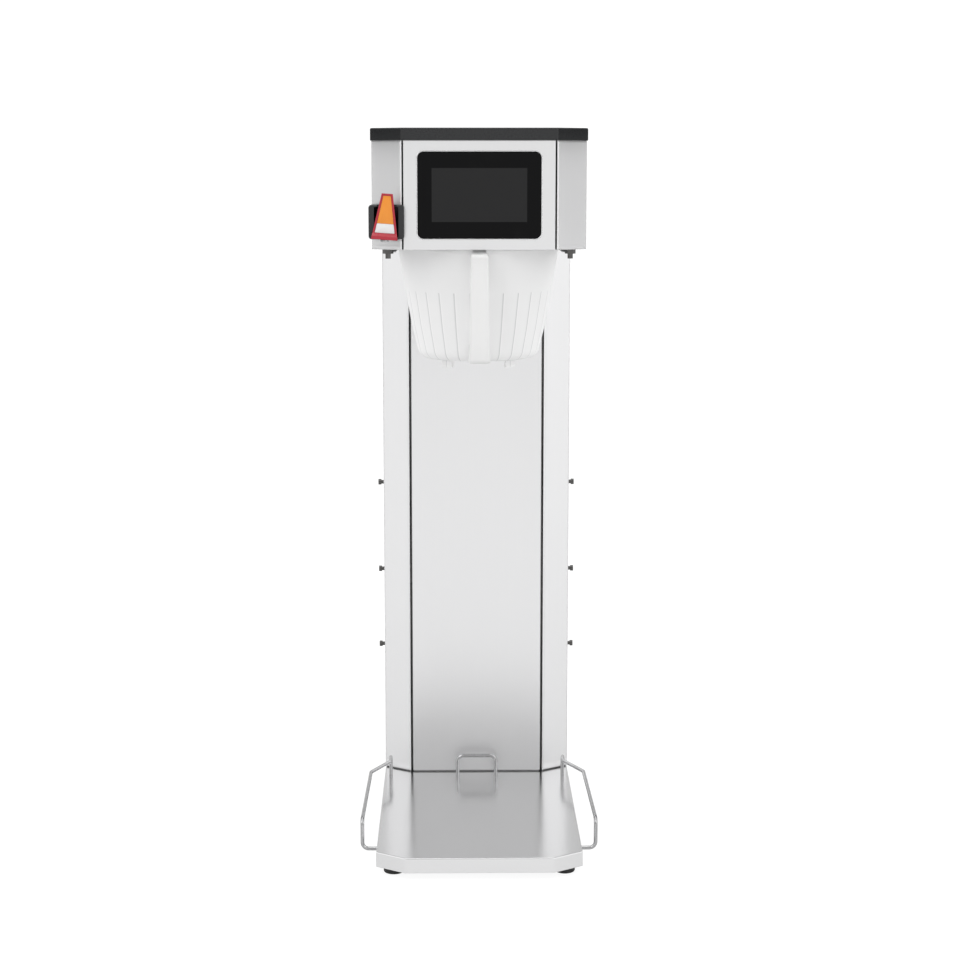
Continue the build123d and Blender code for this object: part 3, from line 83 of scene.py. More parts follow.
def even(value: float) -> Point:
    """Returns one number for all three axes, or for red, green and blue."""
    return (value, value, value)


def shaded(tint: Colour, factor: float) -> Colour:
    """Returns a colour with each of its parts lowered by a factor."""
    red, green, blue = tint
    return (factor * red, factor * green, factor * blue)


class Element(Enum):
    """What a selection in edit mode holds."""

    VERTEX = "VERT"
    EDGE = "EDGE"
    FACE = "FACE"


class Grain(Enum):
    """Direction in which a sheet was brushed, as the pattern's waves per metre on each axis."""

    UPRIGHT = (900.0, 900.0, 4.0)
    LEVEL = (4.0, 4.0, 900.0)
    FRONT_TO_BACK = (900.0, 9.0, 900.0)


class Span(NamedTuple):
    """Where a smooth rise starts and where it ends."""

    low: float
    high: float


@dataclass(frozen=True)
class Pattern:
    """A noise: waves per metre along each axis, its octaves, and the weight of the finer ones."""

    waves: Point
    octaves: float = 2.0
    fineness: float = 0.5


@dataclass(frozen=True)
class Relief:
    """Fine relief of a surface: how much of it shows, and its depth in metres."""

    strength: float
    depth: float


class Signal:
    """A value inside a node tree that takes part in plain arithmetic."""

    def __init__(self, desk: "NodeDesk", socket: bpy.types.NodeSocket) -> None:
        """Wraps one output socket.

        Args:
            desk: The node tree that the socket belongs to.
            socket: The output socket.
        """
        self.desk = desk
        self.socket = socket

    def _math(self, operation: str, first: "Signal | float", second: "Signal | float") -> "Signal":
        """Returns a Math node's result."""
        return self.desk.node("ShaderNodeMath", {"operation": operation}, {0: first, 1: second})

    def __add__(self, other: "Signal | float") -> "Signal":
        """Returns the sum."""
        return self._math("ADD", self, other)

    def __radd__(self, other: float) -> "Signal":
        """Returns the sum, from the right."""
        return self._math("ADD", other, self)

    def __sub__(self, other: "Signal | float") -> "Signal":
        """Returns the difference."""
        return self._math("SUBTRACT", self, other)

    def __rsub__(self, other: float) -> "Signal":
        """Returns the difference, from the right."""
        return self._math("SUBTRACT", other, self)

    def __mul__(self, other: "Signal | float") -> "Signal":
        """Returns the product."""
        return self._math("MULTIPLY", self, other)

    def __rmul__(self, other: float) -> "Signal":
        """Returns the product, from the right."""
        return self._math("MULTIPLY", other, self)

    def above(self, limit: "Signal | float") -> "Signal":
        """Returns 1 where the value is above the limit and 0 elsewhere."""
        return self._math("GREATER_THAN", self, limit)

    def root(self) -> "Signal":
        """Returns the square root."""
        return self._math("SQRT", self, 0.0)

    def size(self) -> "Signal":
        """Returns the value without its sign."""
        return self._math("ABSOLUTE", self, 0.0)

    def wrapped(self) -> "Signal":
        """Returns the part after the decimal point."""
        return self._math("FRACT", self, 0.0)

    def angle_to(self, other: "Signal") -> "Signal":
        """Returns the angle of the arrow whose sides are this value and the other."""
        return self._math("ARCTAN2", self, other)

    def swing(self, width: float) -> "Signal":
        """Returns a noise as a swing around 0, of a given width."""
        return (self - NOISE_MIDDLE) * width

    def ramp(self, rise: Span) -> "Signal":
        """Returns a smooth rise from 0 at the span's low end to 1 at its high end."""
        settings = {"interpolation_type": "SMOOTHSTEP"}
        inputs = {"Value": self, "From Min": rise.low, "From Max": rise.high}
        return self.desk.node("ShaderNodeMapRange", settings, inputs)


class NodeDesk:
    """One node tree under construction."""

    def __init__(self, tree: bpy.types.NodeTree, end: str) -> None:
        """Clears the tree and adds its end.

        Args:
            tree: The tree.
            end: The type of its output node.
        """
        self.tree = tree
        self.tree.nodes.clear()
        self.end = self.tree.nodes.new(end)

    def node(
        self,
        kind: str,
        settings: dict[str, object],
        inputs: dict[str | int, object],
        output: str | int = 0,
    ) -> Signal:
        """Adds any node.

        Args:
            kind: The node's type.
            settings: Its own settings, such as an operation.
            inputs: Values or signals by socket.
            output: The socket to return.

        Returns:
            The chosen output as a signal.
        """
        made = self.tree.nodes.new(kind)
        for key, value in settings.items():
            setattr(made, key, value)
        for key, value in inputs.items():
            if isinstance(value, Signal):
                self.tree.links.new(value.socket, made.inputs[key])
            else:
                made.inputs[key].default_value = value
        return Signal(self, made.outputs[output])

    def parts(self, vector: Signal) -> tuple[Signal, ...]:
        """Returns a vector's x, y and z."""
        split = self.node("ShaderNodeSeparateXYZ", {}, {"Vector": vector})
        return tuple(Signal(self, output) for output in split.socket.node.outputs)

    def rays(self) -> tuple[Signal, Signal]:
        """Returns 1 on what the camera sees directly, and 1 on what is seen in a gloss."""
        camera = self.node("ShaderNodeLightPath", {}, {}, "Is Camera Ray")
        return camera, Signal(self, camera.socket.node.outputs["Is Glossy Ray"])

    def show(self, shader: Signal) -> None:
        """Links the finished shader to the end."""
        self.tree.links.new(shader.socket, self.end.inputs["Surface"])


class FinishDesk(NodeDesk):
    """One material under construction, with the few node recipes that the finishes share."""

    mix_low: int = 6
    mix_high: int = 7
    mix_result: int = 2
    bevel_samples: int = 4
    painted_shade_samples: int = 8
    painted_shade_rise: Span = Span(0.15, 0.75)

    def __init__(self, name: str) -> None:
        """Starts an empty material.

        Args:
            name: The material's name.
        """
        self.material = bpy.data.materials.new(name)
        self.material.use_nodes = True
        super().__init__(self.material.node_tree, "ShaderNodeOutputMaterial")

    def place(self) -> Signal:
        """Returns the point on the object, in metres."""
        return self.node("ShaderNodeTexCoord", {}, {}, "Object")

    def noise(self, pattern: Pattern) -> Signal:
        """Returns a pattern's noise, in 0 to 1."""
        stretched = self.node("ShaderNodeMapping", {}, {"Vector": self.place(), "Scale": pattern.waves})
        inputs = {
            "Vector": stretched,
            "Scale": 1.0,
            "Detail": pattern.octaves,
            "Roughness": pattern.fineness,
        }
        return self.node("ShaderNodeTexNoise", {}, inputs, "Fac")

    def blend(self, share: Signal, low: Signal | Colour, high: Signal | Colour) -> Signal:
        """Returns a colour between low and high.

        Args:
            share: 0 gives low and 1 gives high.
            low: Colour or signal.
            high: Colour or signal.

        Returns:
            The colour.
        """
        inputs = {0: share, self.mix_low: self.opaque(low), self.mix_high: self.opaque(high)}
        return self.node("ShaderNodeMix", {"data_type": "RGBA"}, inputs, self.mix_result)

    @staticmethod
    def opaque(colour: Signal | Colour) -> object:
        """Returns a colour with its fourth number, or a signal as it is."""
        return colour if isinstance(colour, Signal) else (*colour, 1.0)

    def relief(self, height: Signal, relief: Relief, edge: float = 0.0) -> Signal:
        """Returns a normal with fine relief and, if asked, rounded edges.

        Args:
            height: The pattern that stands for height.
            relief: Its strength and depth.
            edge: Radius of the rounded edges in metres.

        Returns:
            The normal.
        """
        inputs: dict[str | int, object] = {
            "Height": height,
            "Strength": relief.strength,
            "Distance": relief.depth,
        }
        if edge:
            settings = {"samples": self.bevel_samples}
            inputs["Normal"] = self.node("ShaderNodeBevel", settings, {"Radius": edge})
        return self.node("ShaderNodeBump", {}, inputs)

    def painted_shade_openness(self, reach: float) -> Signal:
        """Returns 1 on open faces, falling to 0 deep in a gap or inner corner; this masks the painted shade
        there.

        Args:
            reach: How far off a wall still shades, in metres.

        Returns:
            The share of openness.
        """
        settings = {"samples": self.painted_shade_samples}
        openness = self.node("ShaderNodeAmbientOcclusion", settings, {"Distance": reach}, "AO")
        return openness.ramp(self.painted_shade_rise)

    def glow(self, colour: tuple[float, ...], strength: float) -> Signal:
        """Returns a shader that gives light of its own."""
        return self.node("ShaderNodeEmission", {}, {"Color": colour, "Strength": strength})

    def finish(self, **inputs: object) -> bpy.types.Material:
        """Closes the material with one shader.

        Args:
            **inputs: Shader sockets, with _ for a space.

        Returns:
            The material.
        """
        named = {key.replace("_", " "): value for key, value in inputs.items()}
        self.show(self.node("ShaderNodeBsdfPrincipled", {}, named))
        return self.material


@dataclass(frozen=True)
class SheetSteel:
    """Stainless sheet, brushed one way, with faint handling marks and painted shade in its gaps and inner
    corners.
    """

    name: str
    grain: Grain
    tint: Colour = (0.80, 0.80, 0.805)
    roughness: float = 0.35
    edge: float = 1.4 * MM
    darkest: float = 0.965
    clouds: Pattern = Pattern(even(6.0), 3.0)
    marks: Pattern = Pattern(even(38.0), 4.0, 0.7)
    mark_rise: Span = Span(0.56, 0.75)
    line_share: float = 0.6
    cloud_share: float = 0.3
    painted_shade_reach: float = 7.0 * MM
    painted_shade_tint: Colour = even(0.045)
    line_swing: float = 0.08
    cloud_swing: float = 0.06
    mark_dulling: float = 0.03
    relief: Relief = Relief(0.03, 0.05 * MM)

    def build(self) -> bpy.types.Material:
        """Returns the material."""
        desk = FinishDesk(self.name)
        lines = desk.noise(Pattern(self.grain.value))
        clouds = desk.noise(self.clouds)
        marks = desk.noise(self.marks).ramp(self.mark_rise)
        share = lines * self.line_share + clouds * self.cloud_share
        colour = desk.blend(share, shaded(self.tint, self.darkest), self.tint)
        # Painted shade: ambient occlusion darkens the colour in gaps and inner corners.
        colour = desk.blend(desk.painted_shade_openness(self.painted_shade_reach), self.painted_shade_tint, colour)
        roughness = self.roughness + lines.swing(self.line_swing) + clouds.swing(self.cloud_swing)
        roughness = roughness + marks * self.mark_dulling
        normal = desk.relief(lines, self.relief, self.edge)
        return desk.finish(Base_Color=colour, Metallic=1.0, Roughness=roughness, Normal=normal)


@dataclass(frozen=True)
class PolishedSteel:
    """Mirror-polished stainless with hairline scratches from servers sliding on it."""

    name: str
    tint: Colour = (0.75, 0.75, 0.755)
    roughness: float = 0.19
    edge: float = 0.8 * MM
    darkest: float = 0.94
    slides: Pattern = Pattern(Grain.FRONT_TO_BACK.value, 3.0, 0.65)
    clouds: Pattern = Pattern(even(9.0), 3.0)
    slide_swing: float = 0.10
    cloud_swing: float = 0.08
    relief: Relief = Relief(0.03, 0.03 * MM)

    def build(self) -> bpy.types.Material:
        """Returns the material."""
        desk = FinishDesk(self.name)
        slides = desk.noise(self.slides)
        clouds = desk.noise(self.clouds)
        colour = desk.blend(clouds, shaded(self.tint, self.darkest), self.tint)
        roughness = self.roughness + slides.swing(self.slide_swing) + clouds.swing(self.cloud_swing)
        normal = desk.relief(slides, self.relief, self.edge)
        return desk.finish(Base_Color=colour, Metallic=1.0, Roughness=roughness, Normal=normal)


@dataclass(frozen=True)
class BarMetal:
    """Drawn, turned or plated metal: one tint with fine streaks and dull spots."""

    name: str
    tint: Colour
    roughness: float
    edge: float = 0.25 * MM
    dullest: float = 0.75
    streaks: Pattern = Pattern(even(500.0), 3.0, 0.6)
    spots: Pattern = Pattern(even(60.0), 4.0, 0.65)
    spot_rise: Span = Span(0.45, 0.8)
    spot_share: float = 0.6
    streak_share: float = 0.3
    streak_swing: float = 0.1
    spot_dulling: float = 0.1
    relief: Relief = Relief(0.08, 0.04 * MM)

    def build(self) -> bpy.types.Material:
        """Returns the material."""
        desk = FinishDesk(self.name)
        streaks = desk.noise(self.streaks)
        spots = desk.noise(self.spots).ramp(self.spot_rise)
        share = spots * self.spot_share + streaks * self.streak_share
        colour = desk.blend(share, self.tint, shaded(self.tint, self.dullest))
        roughness = self.roughness + streaks.swing(self.streak_swing) + spots * self.spot_dulling
        normal = desk.relief(streaks, self.relief, self.edge)
        return desk.finish(Base_Color=colour, Metallic=1.0, Roughness=roughness, Normal=normal)


@dataclass(frozen=True)
class MouldedPlastic:
    """Moulded plastic with a fine spark-eroded grain, paler where it has been rubbed."""

    name: str
    tint: Colour
    worn: Colour
    roughness: float
    gloss: float = 0.5
    edge: float = 0.5 * MM
    grain: Pattern = Pattern(even(1400.0), 2.0, 0.6)
    clouds: Pattern = Pattern(even(14.0), 3.0)
    rubs: Pattern = Pattern(even(90.0), 4.0, 0.7)
    rub_rise: Span = Span(0.58, 0.8)
    rub_share: float = 0.35
    cloud_share: float = 0.25
    grain_swing: float = 0.12
    cloud_swing: float = 0.08
    relief: Relief = Relief(0.25, 0.06 * MM)

    def build(self) -> bpy.types.Material:
        """Returns the material."""
        desk = FinishDesk(self.name)
        grain = desk.noise(self.grain)
        clouds = desk.noise(self.clouds)
        rubs = desk.noise(self.rubs).ramp(self.rub_rise)
        colour = desk.blend(rubs * self.rub_share + clouds * self.cloud_share, self.tint, self.worn)
        roughness = self.roughness + grain.swing(self.grain_swing) + clouds.swing(self.cloud_swing)
        return desk.finish(
            Base_Color=colour,
            Roughness=roughness,
            Normal=desk.relief(grain, self.relief, self.edge),
            Specular_IOR_Level=self.gloss,
        )


@dataclass(frozen=True)
class RibView:
    """Ribs on the inside of a turned bowl, drawn on its lower wall as painted shade on one flank of each rib
    and a painted highlight on the other.
    """

    count: int = 28
    axis_y: float = -151.0 * MM
    top: float = 712.0 * MM
    fade: float = 2.0 * MM
    shade_in: Span = Span(0.38, 0.47)
    shade_out: Span = Span(0.49, 0.52)
    shade_share: float = 0.55
    shade_tint: Colour = (0.50, 0.505, 0.51)
    shine_in: Span = Span(0.50, 0.53)
    shine_out: Span = Span(0.55, 0.62)
    shine_share: float = 0.8
    shine_tint: Colour = even(0.97)

    def draw(self, desk: FinishDesk, colour: Signal) -> Signal:
        """Paints shade on one flank of each rib and a highlight on the other.

        Args:
            desk: The material.
            colour: The wall's colour.

        Returns:
            The colour with its ribs.
        """
        x, y, z = desk.parts(desk.place())
        turn = ((y - self.axis_y).angle_to(x) * (self.count / math.tau)).wrapped()
        reach = 1.0 - z.ramp(Span(self.top - self.fade, self.top))
        # Painted shade on one flank of each rib, painted highlight on the other.
        shade = turn.ramp(self.shade_in) * (1.0 - turn.ramp(self.shade_out)) * reach
        shine = turn.ramp(self.shine_in) * (1.0 - turn.ramp(self.shine_out)) * reach
        darker = desk.blend(shade * self.shade_share, colour, self.shade_tint)
        return desk.blend(shine * self.shine_share, darker, self.shine_tint)


@dataclass(frozen=True)
class FrostedPlastic:
    """Milky translucent plastic with faint flow marks."""

    name: str
    tint: Colour = (0.84, 0.84, 0.837)
    clear: float = 0.25
    edge: float = 0.0
    ribs: RibView | None = None
    roughness: float = 0.34
    refraction: float = 1.49
    darkest: float = 0.95
    haze: Pattern = Pattern(even(220.0), 3.0, 0.6)
    clouds: Pattern = Pattern(even(16.0), 3.0)
    flow: Pattern = Pattern((7.0, 7.0, 60.0))
    cloud_share: float = 0.5
    flow_share: float = 0.3
    haze_swing: float = 0.12
    cloud_swing: float = 0.06
    relief: Relief = Relief(0.06, 0.08 * MM)

    def build(self) -> bpy.types.Material:
        """Returns the material."""
        desk = FinishDesk(self.name)
        haze = desk.noise(self.haze)
        clouds = desk.noise(self.clouds)
        share = clouds * self.cloud_share + desk.noise(self.flow) * self.flow_share
        colour = desk.blend(share, self.tint, shaded(self.tint, self.darkest))
        if self.ribs:
            colour = self.ribs.draw(desk, colour)
        roughness = self.roughness + haze.swing(self.haze_swing) + clouds.swing(self.cloud_swing)
        return desk.finish(
            Base_Color=colour,
            Roughness=roughness,
            Normal=desk.relief(haze, self.relief, self.edge),
            IOR=self.refraction,
            Transmission_Weight=self.clear,
        )


@dataclass(frozen=True)
class PrintedGlass:
    """Black printed glass with an unlit display behind its clear field."""

    name: str
    half_width: float = 55.9 * MM
    low: float = 795.9 * MM
    high: float = 858.4 * MM
    border: float = 0.15 * MM
    black: Colour = (0.0042, 0.0042, 0.0045)
    unlit: Colour = (0.0205, 0.0205, 0.0210)
    smudge: Colour = (0.03, 0.03, 0.031)
    smudges: Pattern = Pattern(even(30.0), 4.0, 0.6)
    smudge_rise: Span = Span(0.5, 0.9)
    smudge_share: float = 0.1
    smudge_dulling: float = 0.10
    roughness: float = 0.16
    gloss: float = 0.07
    edge: float = 0.4 * MM
    relief: Relief = Relief(0.02, 0.05 * MM)

    def within(self, distance: Signal, reach: float) -> Signal:
        """Returns 1 nearer than reach and 0 beyond it, with the print's soft border between."""
        return 1.0 - distance.size().ramp(Span(reach - self.border, reach + self.border))

    def build(self) -> bpy.types.Material:
        """Returns the material."""
        desk = FinishDesk(self.name)
        x, _, z = desk.parts(desk.place())
        inside = self.within(x, self.half_width)
        level = self.within(z - (self.low + self.high) / 2, (self.high - self.low) / 2)
        smudges = desk.noise(self.smudges)
        colour = desk.blend(inside * level, self.black, self.unlit)
        colour = desk.blend(smudges.ramp(self.smudge_rise) * self.smudge_share, colour, self.smudge)
        roughness = self.roughness + smudges * self.smudge_dulling
        return desk.finish(
            Base_Color=colour,
            Roughness=roughness,
            Normal=desk.relief(smudges, self.relief, self.edge),
            Specular_IOR_Level=self.gloss,
        )


@dataclass(frozen=True)
class EnamelField:
    """Smooth coloured inlay with a little unevenness in its gloss."""

    name: str
    tint: Colour
    faded: Colour
    roughness: float = 0.34
    edge: float = 0.2 * MM
    clouds: Pattern = Pattern(even(120.0), 3.0)
    specks: Pattern = Pattern(even(900.0))
    cloud_swing: float = 0.12
    speck_swing: float = 0.06
    relief: Relief = Relief(0.08, 0.04 * MM)

    def build(self) -> bpy.types.Material:
        """Returns the material."""
        desk = FinishDesk(self.name)
        clouds = desk.noise(self.clouds)
        specks = desk.noise(self.specks)
        colour = desk.blend(clouds, self.tint, self.faded)
        roughness = self.roughness + clouds.swing(self.cloud_swing) + specks.swing(self.speck_swing)
        normal = desk.relief(specks, self.relief, self.edge)
        return desk.finish(Base_Color=colour, Roughness=roughness, Normal=normal)


@dataclass(frozen=True)
class CircuitBoard:
    """Green solder resist with tinned tracks under it."""

    name: str
    resist: Colour = (0.010, 0.085, 0.035)
    copper: Colour = (0.045, 0.19, 0.07)
    roughness: float = 0.38
    track_waves: float = 260.0
    track_limit: float = 0.72
    track_share: float = 0.6
    track_dulling: float = 0.08
    breaks: Pattern = Pattern(even(40.0))
    break_limit: float = 0.5
    lane_waves: float = 300.0
    lane_limit: float = 0.78
    lane_share: float = 0.3
    relief: Relief = Relief(0.2, 0.05 * MM)

    def build(self) -> bpy.types.Material:
        """Returns the material."""
        desk = FinishDesk(self.name)
        x, _, z = desk.parts(desk.place())
        unbroken = desk.noise(self.breaks).above(self.break_limit)
        tracks = (x * self.track_waves).wrapped().above(self.track_limit) * unbroken
        lanes = (z * self.lane_waves).wrapped().above(self.lane_limit)
        share = tracks * self.track_share + lanes * self.lane_share
        colour = desk.blend(share, self.resist, self.copper)
        roughness = self.roughness + tracks * self.track_dulling
        normal = desk.relief(tracks + lanes, self.relief)
        return desk.finish(Base_Color=colour, Roughness=roughness, Normal=normal)


class Bench:
    """One mesh on the bench, shaped with Blender's own tools and kept at the origin."""

    def __init__(self, name: str) -> None:
        """Names the piece.

        Args:
            name: The object's name.
        """
        self.name = name
        self.body: bpy.types.Object | None = None

    def add(
        self,
        primitive: Callable[..., object],
        extent: Point = (1.0, 1.0, 1.0),
        **settings: object,
    ) -> "Bench":
        """Adds a primitive and settles it, so that edit mode works in real places.

        Args:
            primitive: The operator that adds it.
            extent: How much larger it becomes along each of its own axes.
            **settings: The operator's settings.

        Returns:
            The bench.
        """
        bpy.ops.object.select_all(action="DESELECT")
        primitive(**settings)
        self.body = bpy.context.active_object
        self.body.name = self.name
        self.body.data.name = self.name
        self.body.scale = extent
        self.settle()
        return self

    def settle(self) -> None:
        """Puts the object's place, turn and size into its mesh."""
        self.take()
        bpy.ops.object.transform_apply(location=True, rotation=True, scale=True)

    def take(self) -> None:
        """Makes this the only selected object."""
        if bpy.context.mode != "OBJECT":
            bpy.ops.object.mode_set(mode="OBJECT")
        bpy.ops.object.select_all(action="DESELECT")
        self.body.select_set(True)
        bpy.context.view_layer.objects.active = self.body

    def edit(self, element: Element = Element.FACE) -> None:
        """Enters edit mode with everything selected.

        Args:
            element: What the selection holds.
        """
        self.take()
        bpy.ops.object.mode_set(mode="EDIT")
        bpy.ops.mesh.select_mode(type=element.value)
        bpy.ops.mesh.select_all(action="SELECT")

    def leave(self) -> None:
        """Returns to object mode."""
        bpy.ops.object.mode_set(mode="OBJECT")

    def pick(self, element: Element, test: Callable[[Vector, Vector], bool]) -> None:
        """Selects by place and direction.

        Args:
            element: What to select.
            test: Gets a centre, and a normal or an edge's direction.
        """
        bpy.ops.mesh.select_mode(type=element.value)
        bpy.ops.mesh.select_all(action="DESELECT")
        mesh = bmesh.from_edit_mesh(self.body.data)
        if element is Element.FACE:
            rows = [(face, face.calc_center_median(), face.normal) for face in mesh.faces]
        elif element is Element.EDGE:
            ends = [(edge, edge.verts[0].co, edge.verts[1].co) for edge in mesh.edges]
            rows = [(edge, (start + stop) / 2, (stop - start).normalized()) for edge, start, stop in ends]
        else:
            rows = [(vertex, vertex.co, vertex.normal) for vertex in mesh.verts]
        for item, centre, direction in rows:
            if test(centre, direction):
                item.select_set(True)
        mesh.select_flush_mode()
        bmesh.update_edit_mesh(self.body.data)

    def extrude(self, way: Point) -> None:
        """Extrudes the selection.

        Args:
            way: How far along each axis.
        """
        bpy.ops.mesh.extrude_region_move(TRANSFORM_OT_translate={"value": way})

    def scale(self, factor: Point, centre: Point) -> None:
        """Scales the selection.

        Args:
            factor: On each axis.
            centre: The point that stays.
        """
        bpy.ops.transform.resize(value=factor, center_override=centre)

    def turn_profile(self, profile: Profile) -> None:
        """Pulls the selected ring through a turned profile's stations, on the z axis.

        Args:
            profile: Radius and height of each station. The ring is at the first.
        """
        for (radius, height), (next_radius, next_height) in pairwise(profile):
            self.extrude((0.0, 0.0, next_height - height))
            factor = next_radius / radius
            self.scale((factor, factor, 1.0), (0.0, 0.0, next_height))

    def modifier(self, kind: str, **settings: object) -> "Bench":
        """Adds a modifier and applies it.

        Args:
            kind: Its type.
            **settings: Its settings.

        Returns:
            The bench.
        """
        self.take()
        made = self.body.modifiers.new(kind.lower(), kind)
        for key, value in settings.items():
            setattr(made, key, value)
        bpy.ops.object.modifier_apply(modifier=made.name)
        return self

    def round_edges(self, width: float, segments: int = 3, angle: float = 35.0) -> "Bench":
        """Rounds every sharp edge.

        Args:
            width: The round's width in metres.
            segments: Faces across it.
            angle: The least angle that counts as sharp, in degrees.

        Returns:
            The bench.
        """
        return self.modifier(
            "BEVEL",
            width=width,
            segments=segments,
            limit_method="ANGLE",
            angle_limit=math.radians(angle),
        )

    def smooth(self, angle: float) -> "Bench":
        """Shades smooth up to an angle in degrees, with every face outwards."""
        self.edit()
        bpy.ops.mesh.normals_make_consistent(inside=False)
        self.leave()
        bpy.ops.object.shade_smooth_by_angle(angle=math.radians(angle))
        return self

    def copy_as(self, name: str, where: Matrix) -> "Bench":
        """Copies the piece with its own mesh.

        Args:
            name: The copy's name.
            where: Where it goes.

        Returns:
            The copy's bench.
        """
        other = Bench(name)
        other.body = self.body.copy()
        other.body.data = self.body.data.copy()
        other.body.name = name
        other.body.data.name = name
        bpy.context.scene.collection.objects.link(other.body)
        return other.move(where)

    def move(self, where: Matrix) -> "Bench":
        """Moves the finished mesh and settles it."""
        self.body.matrix_world = where
        self.settle()
        return self

    def done(self, material: bpy.types.Material, body: str, slot: str, *nodes: str) -> None:
        """Dresses the piece and sets it on its CAD body.

        Args:
            material: Its material.
            body: The CAD body that it rides on.
            slot: The record's material slot; not used.
            *nodes: CAD nodes that it stands for.
        """
        self.body.data.materials.clear()
        self.body.data.materials.append(material)
        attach(self.body, body)
        if nodes:
            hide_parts(*nodes)
        log.info("piece %s: %d faces", self.name, len(self.body.data.polygons))


@dataclass
class Wardrobe:
    """Every finish by the record's slot or its own name, and the nodes that wear them."""

    finishes: dict[str, bpy.types.Material] = field(default_factory=dict)
    own: tuple[tuple[str, str], ...] = (
        ("funnel_body", "funnel_wall"),
        ("funnel_handle", "handle_plastic"),
        ("side_panel_left", "folded_sheet"),
        ("side_panel_right", "folded_sheet"),
    )

    @staticmethod
    def metals() -> list[SheetSteel | PolishedSteel | BarMetal]:
        """Returns the plans of the metal finishes."""
        return [
            SheetSteel("brushed_steel", Grain.UPRIGHT),
            PolishedSteel("polished_steel"),
            BarMetal("steel_wire", tint=(0.45, 0.45, 0.455), roughness=0.16),
            SheetSteel("plain_steel", Grain.LEVEL, tint=(0.66, 0.665, 0.67), roughness=0.38),
            SheetSteel("tank_steel", Grain.LEVEL, tint=(0.72, 0.715, 0.71), roughness=0.34),
            BarMetal("screw_steel", tint=(0.12, 0.118, 0.115), roughness=0.30),
            SheetSteel("folded_sheet", Grain.UPRIGHT, edge=4.0 * MM),
            BarMetal("heat_sink_aluminium", tint=(0.62, 0.62, 0.63), roughness=0.42),
            BarMetal("brass_fittings", tint=(0.60, 0.43, 0.18), roughness=0.30),
        ]

    @staticmethod
    def mouldings() -> list[MouldedPlastic]:
        """Returns the plans of the opaque plastics and rubber."""
        return [
            MouldedPlastic(
                "black_lid",
                tint=(0.011, 0.0115, 0.0125),
                worn=(0.018, 0.019, 0.0205),
                roughness=0.28,
                gloss=0.45,
            ),
            MouldedPlastic(
                "black_plastic",
                tint=(0.012, 0.0125, 0.014),
                worn=(0.03, 0.03, 0.032),
                roughness=0.36,
            ),
            MouldedPlastic(
                "red_plastic",
                tint=(0.36, 0.012, 0.028),
                worn=(0.47, 0.045, 0.06),
                roughness=0.30,
                grain=Pattern(even(700.0), 2.0, 0.6),
                relief=Relief(0.25, 0.03 * MM),
            ),
            MouldedPlastic("rocker_plastic", tint=even(0.015), worn=even(0.03), roughness=0.25),
            MouldedPlastic(
                "foot_rubber",
                tint=even(0.010),
                worn=even(0.03),
                roughness=0.62,
                grain=Pattern(even(1800.0), 2.0, 0.6),
            ),
        ]

    @staticmethod
    def clear_and_flat() -> list[FrostedPlastic | PrintedGlass | EnamelField | CircuitBoard]:
        """Returns the plans of the milky plastics, the glass, and the display's and board's faces."""
        return [
            FrostedPlastic("frosted_plastic"),
            FrostedPlastic("funnel_wall", tint=even(0.93), clear=0.18, ribs=RibView()),
            FrostedPlastic("handle_plastic", tint=(0.85, 0.85, 0.847), clear=0.2, edge=2.5 * MM),
            FrostedPlastic("silicone", tint=(0.62, 0.60, 0.56)),
            PrintedGlass("black_glass"),
            EnamelField("display_panel", tint=(0.02, 0.02, 0.021), faded=(0.03, 0.03, 0.032)),
            CircuitBoard("circuit_board"),
        ]

    def build(self) -> None:
        """Makes the finishes."""
        for plan in [*self.metals(), *self.mouldings(), *self.clear_and_flat()]:
            self.finishes[plan.name] = plan.build()
            log.info("finish %s", plan.name)

    def dress_nodes(self, record: dict[str, list[dict[str, str]]]) -> None:
        """Gives each CAD node its slot's finish, or its own.

        Args:
            record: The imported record.
        """
        own = dict(self.own)
        for row in record["subparts"]:
            finish = own.get(row["node"], row["material_slot"])
            mesh = frame["nodes"][row["node"]].data
            mesh.materials.clear()
            mesh.materials.append(self.finishes[finish])
            log.info("node %s wears %s", row["node"], finish)


@dataclass
class HeadFront:
    """Trim of the head's front: the pressed rim around the touch glass."""

    glass_width: float = 144.6 * MM
    glass_height: float = 100.5 * MM
    corner: float = 7.0 * MM
    corner_sides: int = 10
    gap: float = 0.35 * MM
    rim: float = 1.3 * MM
    proud: float = 0.35 * MM
    rounding: float = 0.28 * MM
    smooth_angle: float = 50.0
    front: float = -258.0 * MM
    middle: float = 826.9 * MM

    def build(self, wardrobe: Wardrobe) -> None:
        """Builds the rim.

        Args:
            wardrobe: The finishes.
        """
        margin = self.gap + self.rim
        centre = (0.0, self.front, self.middle)
        rim = Bench("window_rim").add(
            bpy.ops.mesh.primitive_plane_add,
            size=1.0,
            location=centre,
            rotation=(QUARTER_TURN, 0.0, 0.0),
            extent=(self.glass_width + margin * 2, self.glass_height + margin * 2, 1.0),
        )
        rim.edit(Element.VERTEX)
        bpy.ops.mesh.bevel(affect="VERTICES", offset=self.corner + margin, segments=self.corner_sides)
        rim.pick(Element.FACE, lambda place, normal: True)
        bpy.ops.mesh.inset(thickness=self.rim)
        rim.pick(Element.FACE, lambda place, normal: (place - Vector(centre)).length < self.gap)
        bpy.ops.mesh.delete(type="FACE")
        rim.pick(Element.FACE, lambda place, normal: True)
        rim.extrude((0.0, -self.proud, 0.0))
        rim.leave()
        rim.round_edges(self.rounding).smooth(self.smooth_angle)
        rim.done(wardrobe.finishes["polished_steel"], "brewer", "brushed_steel")


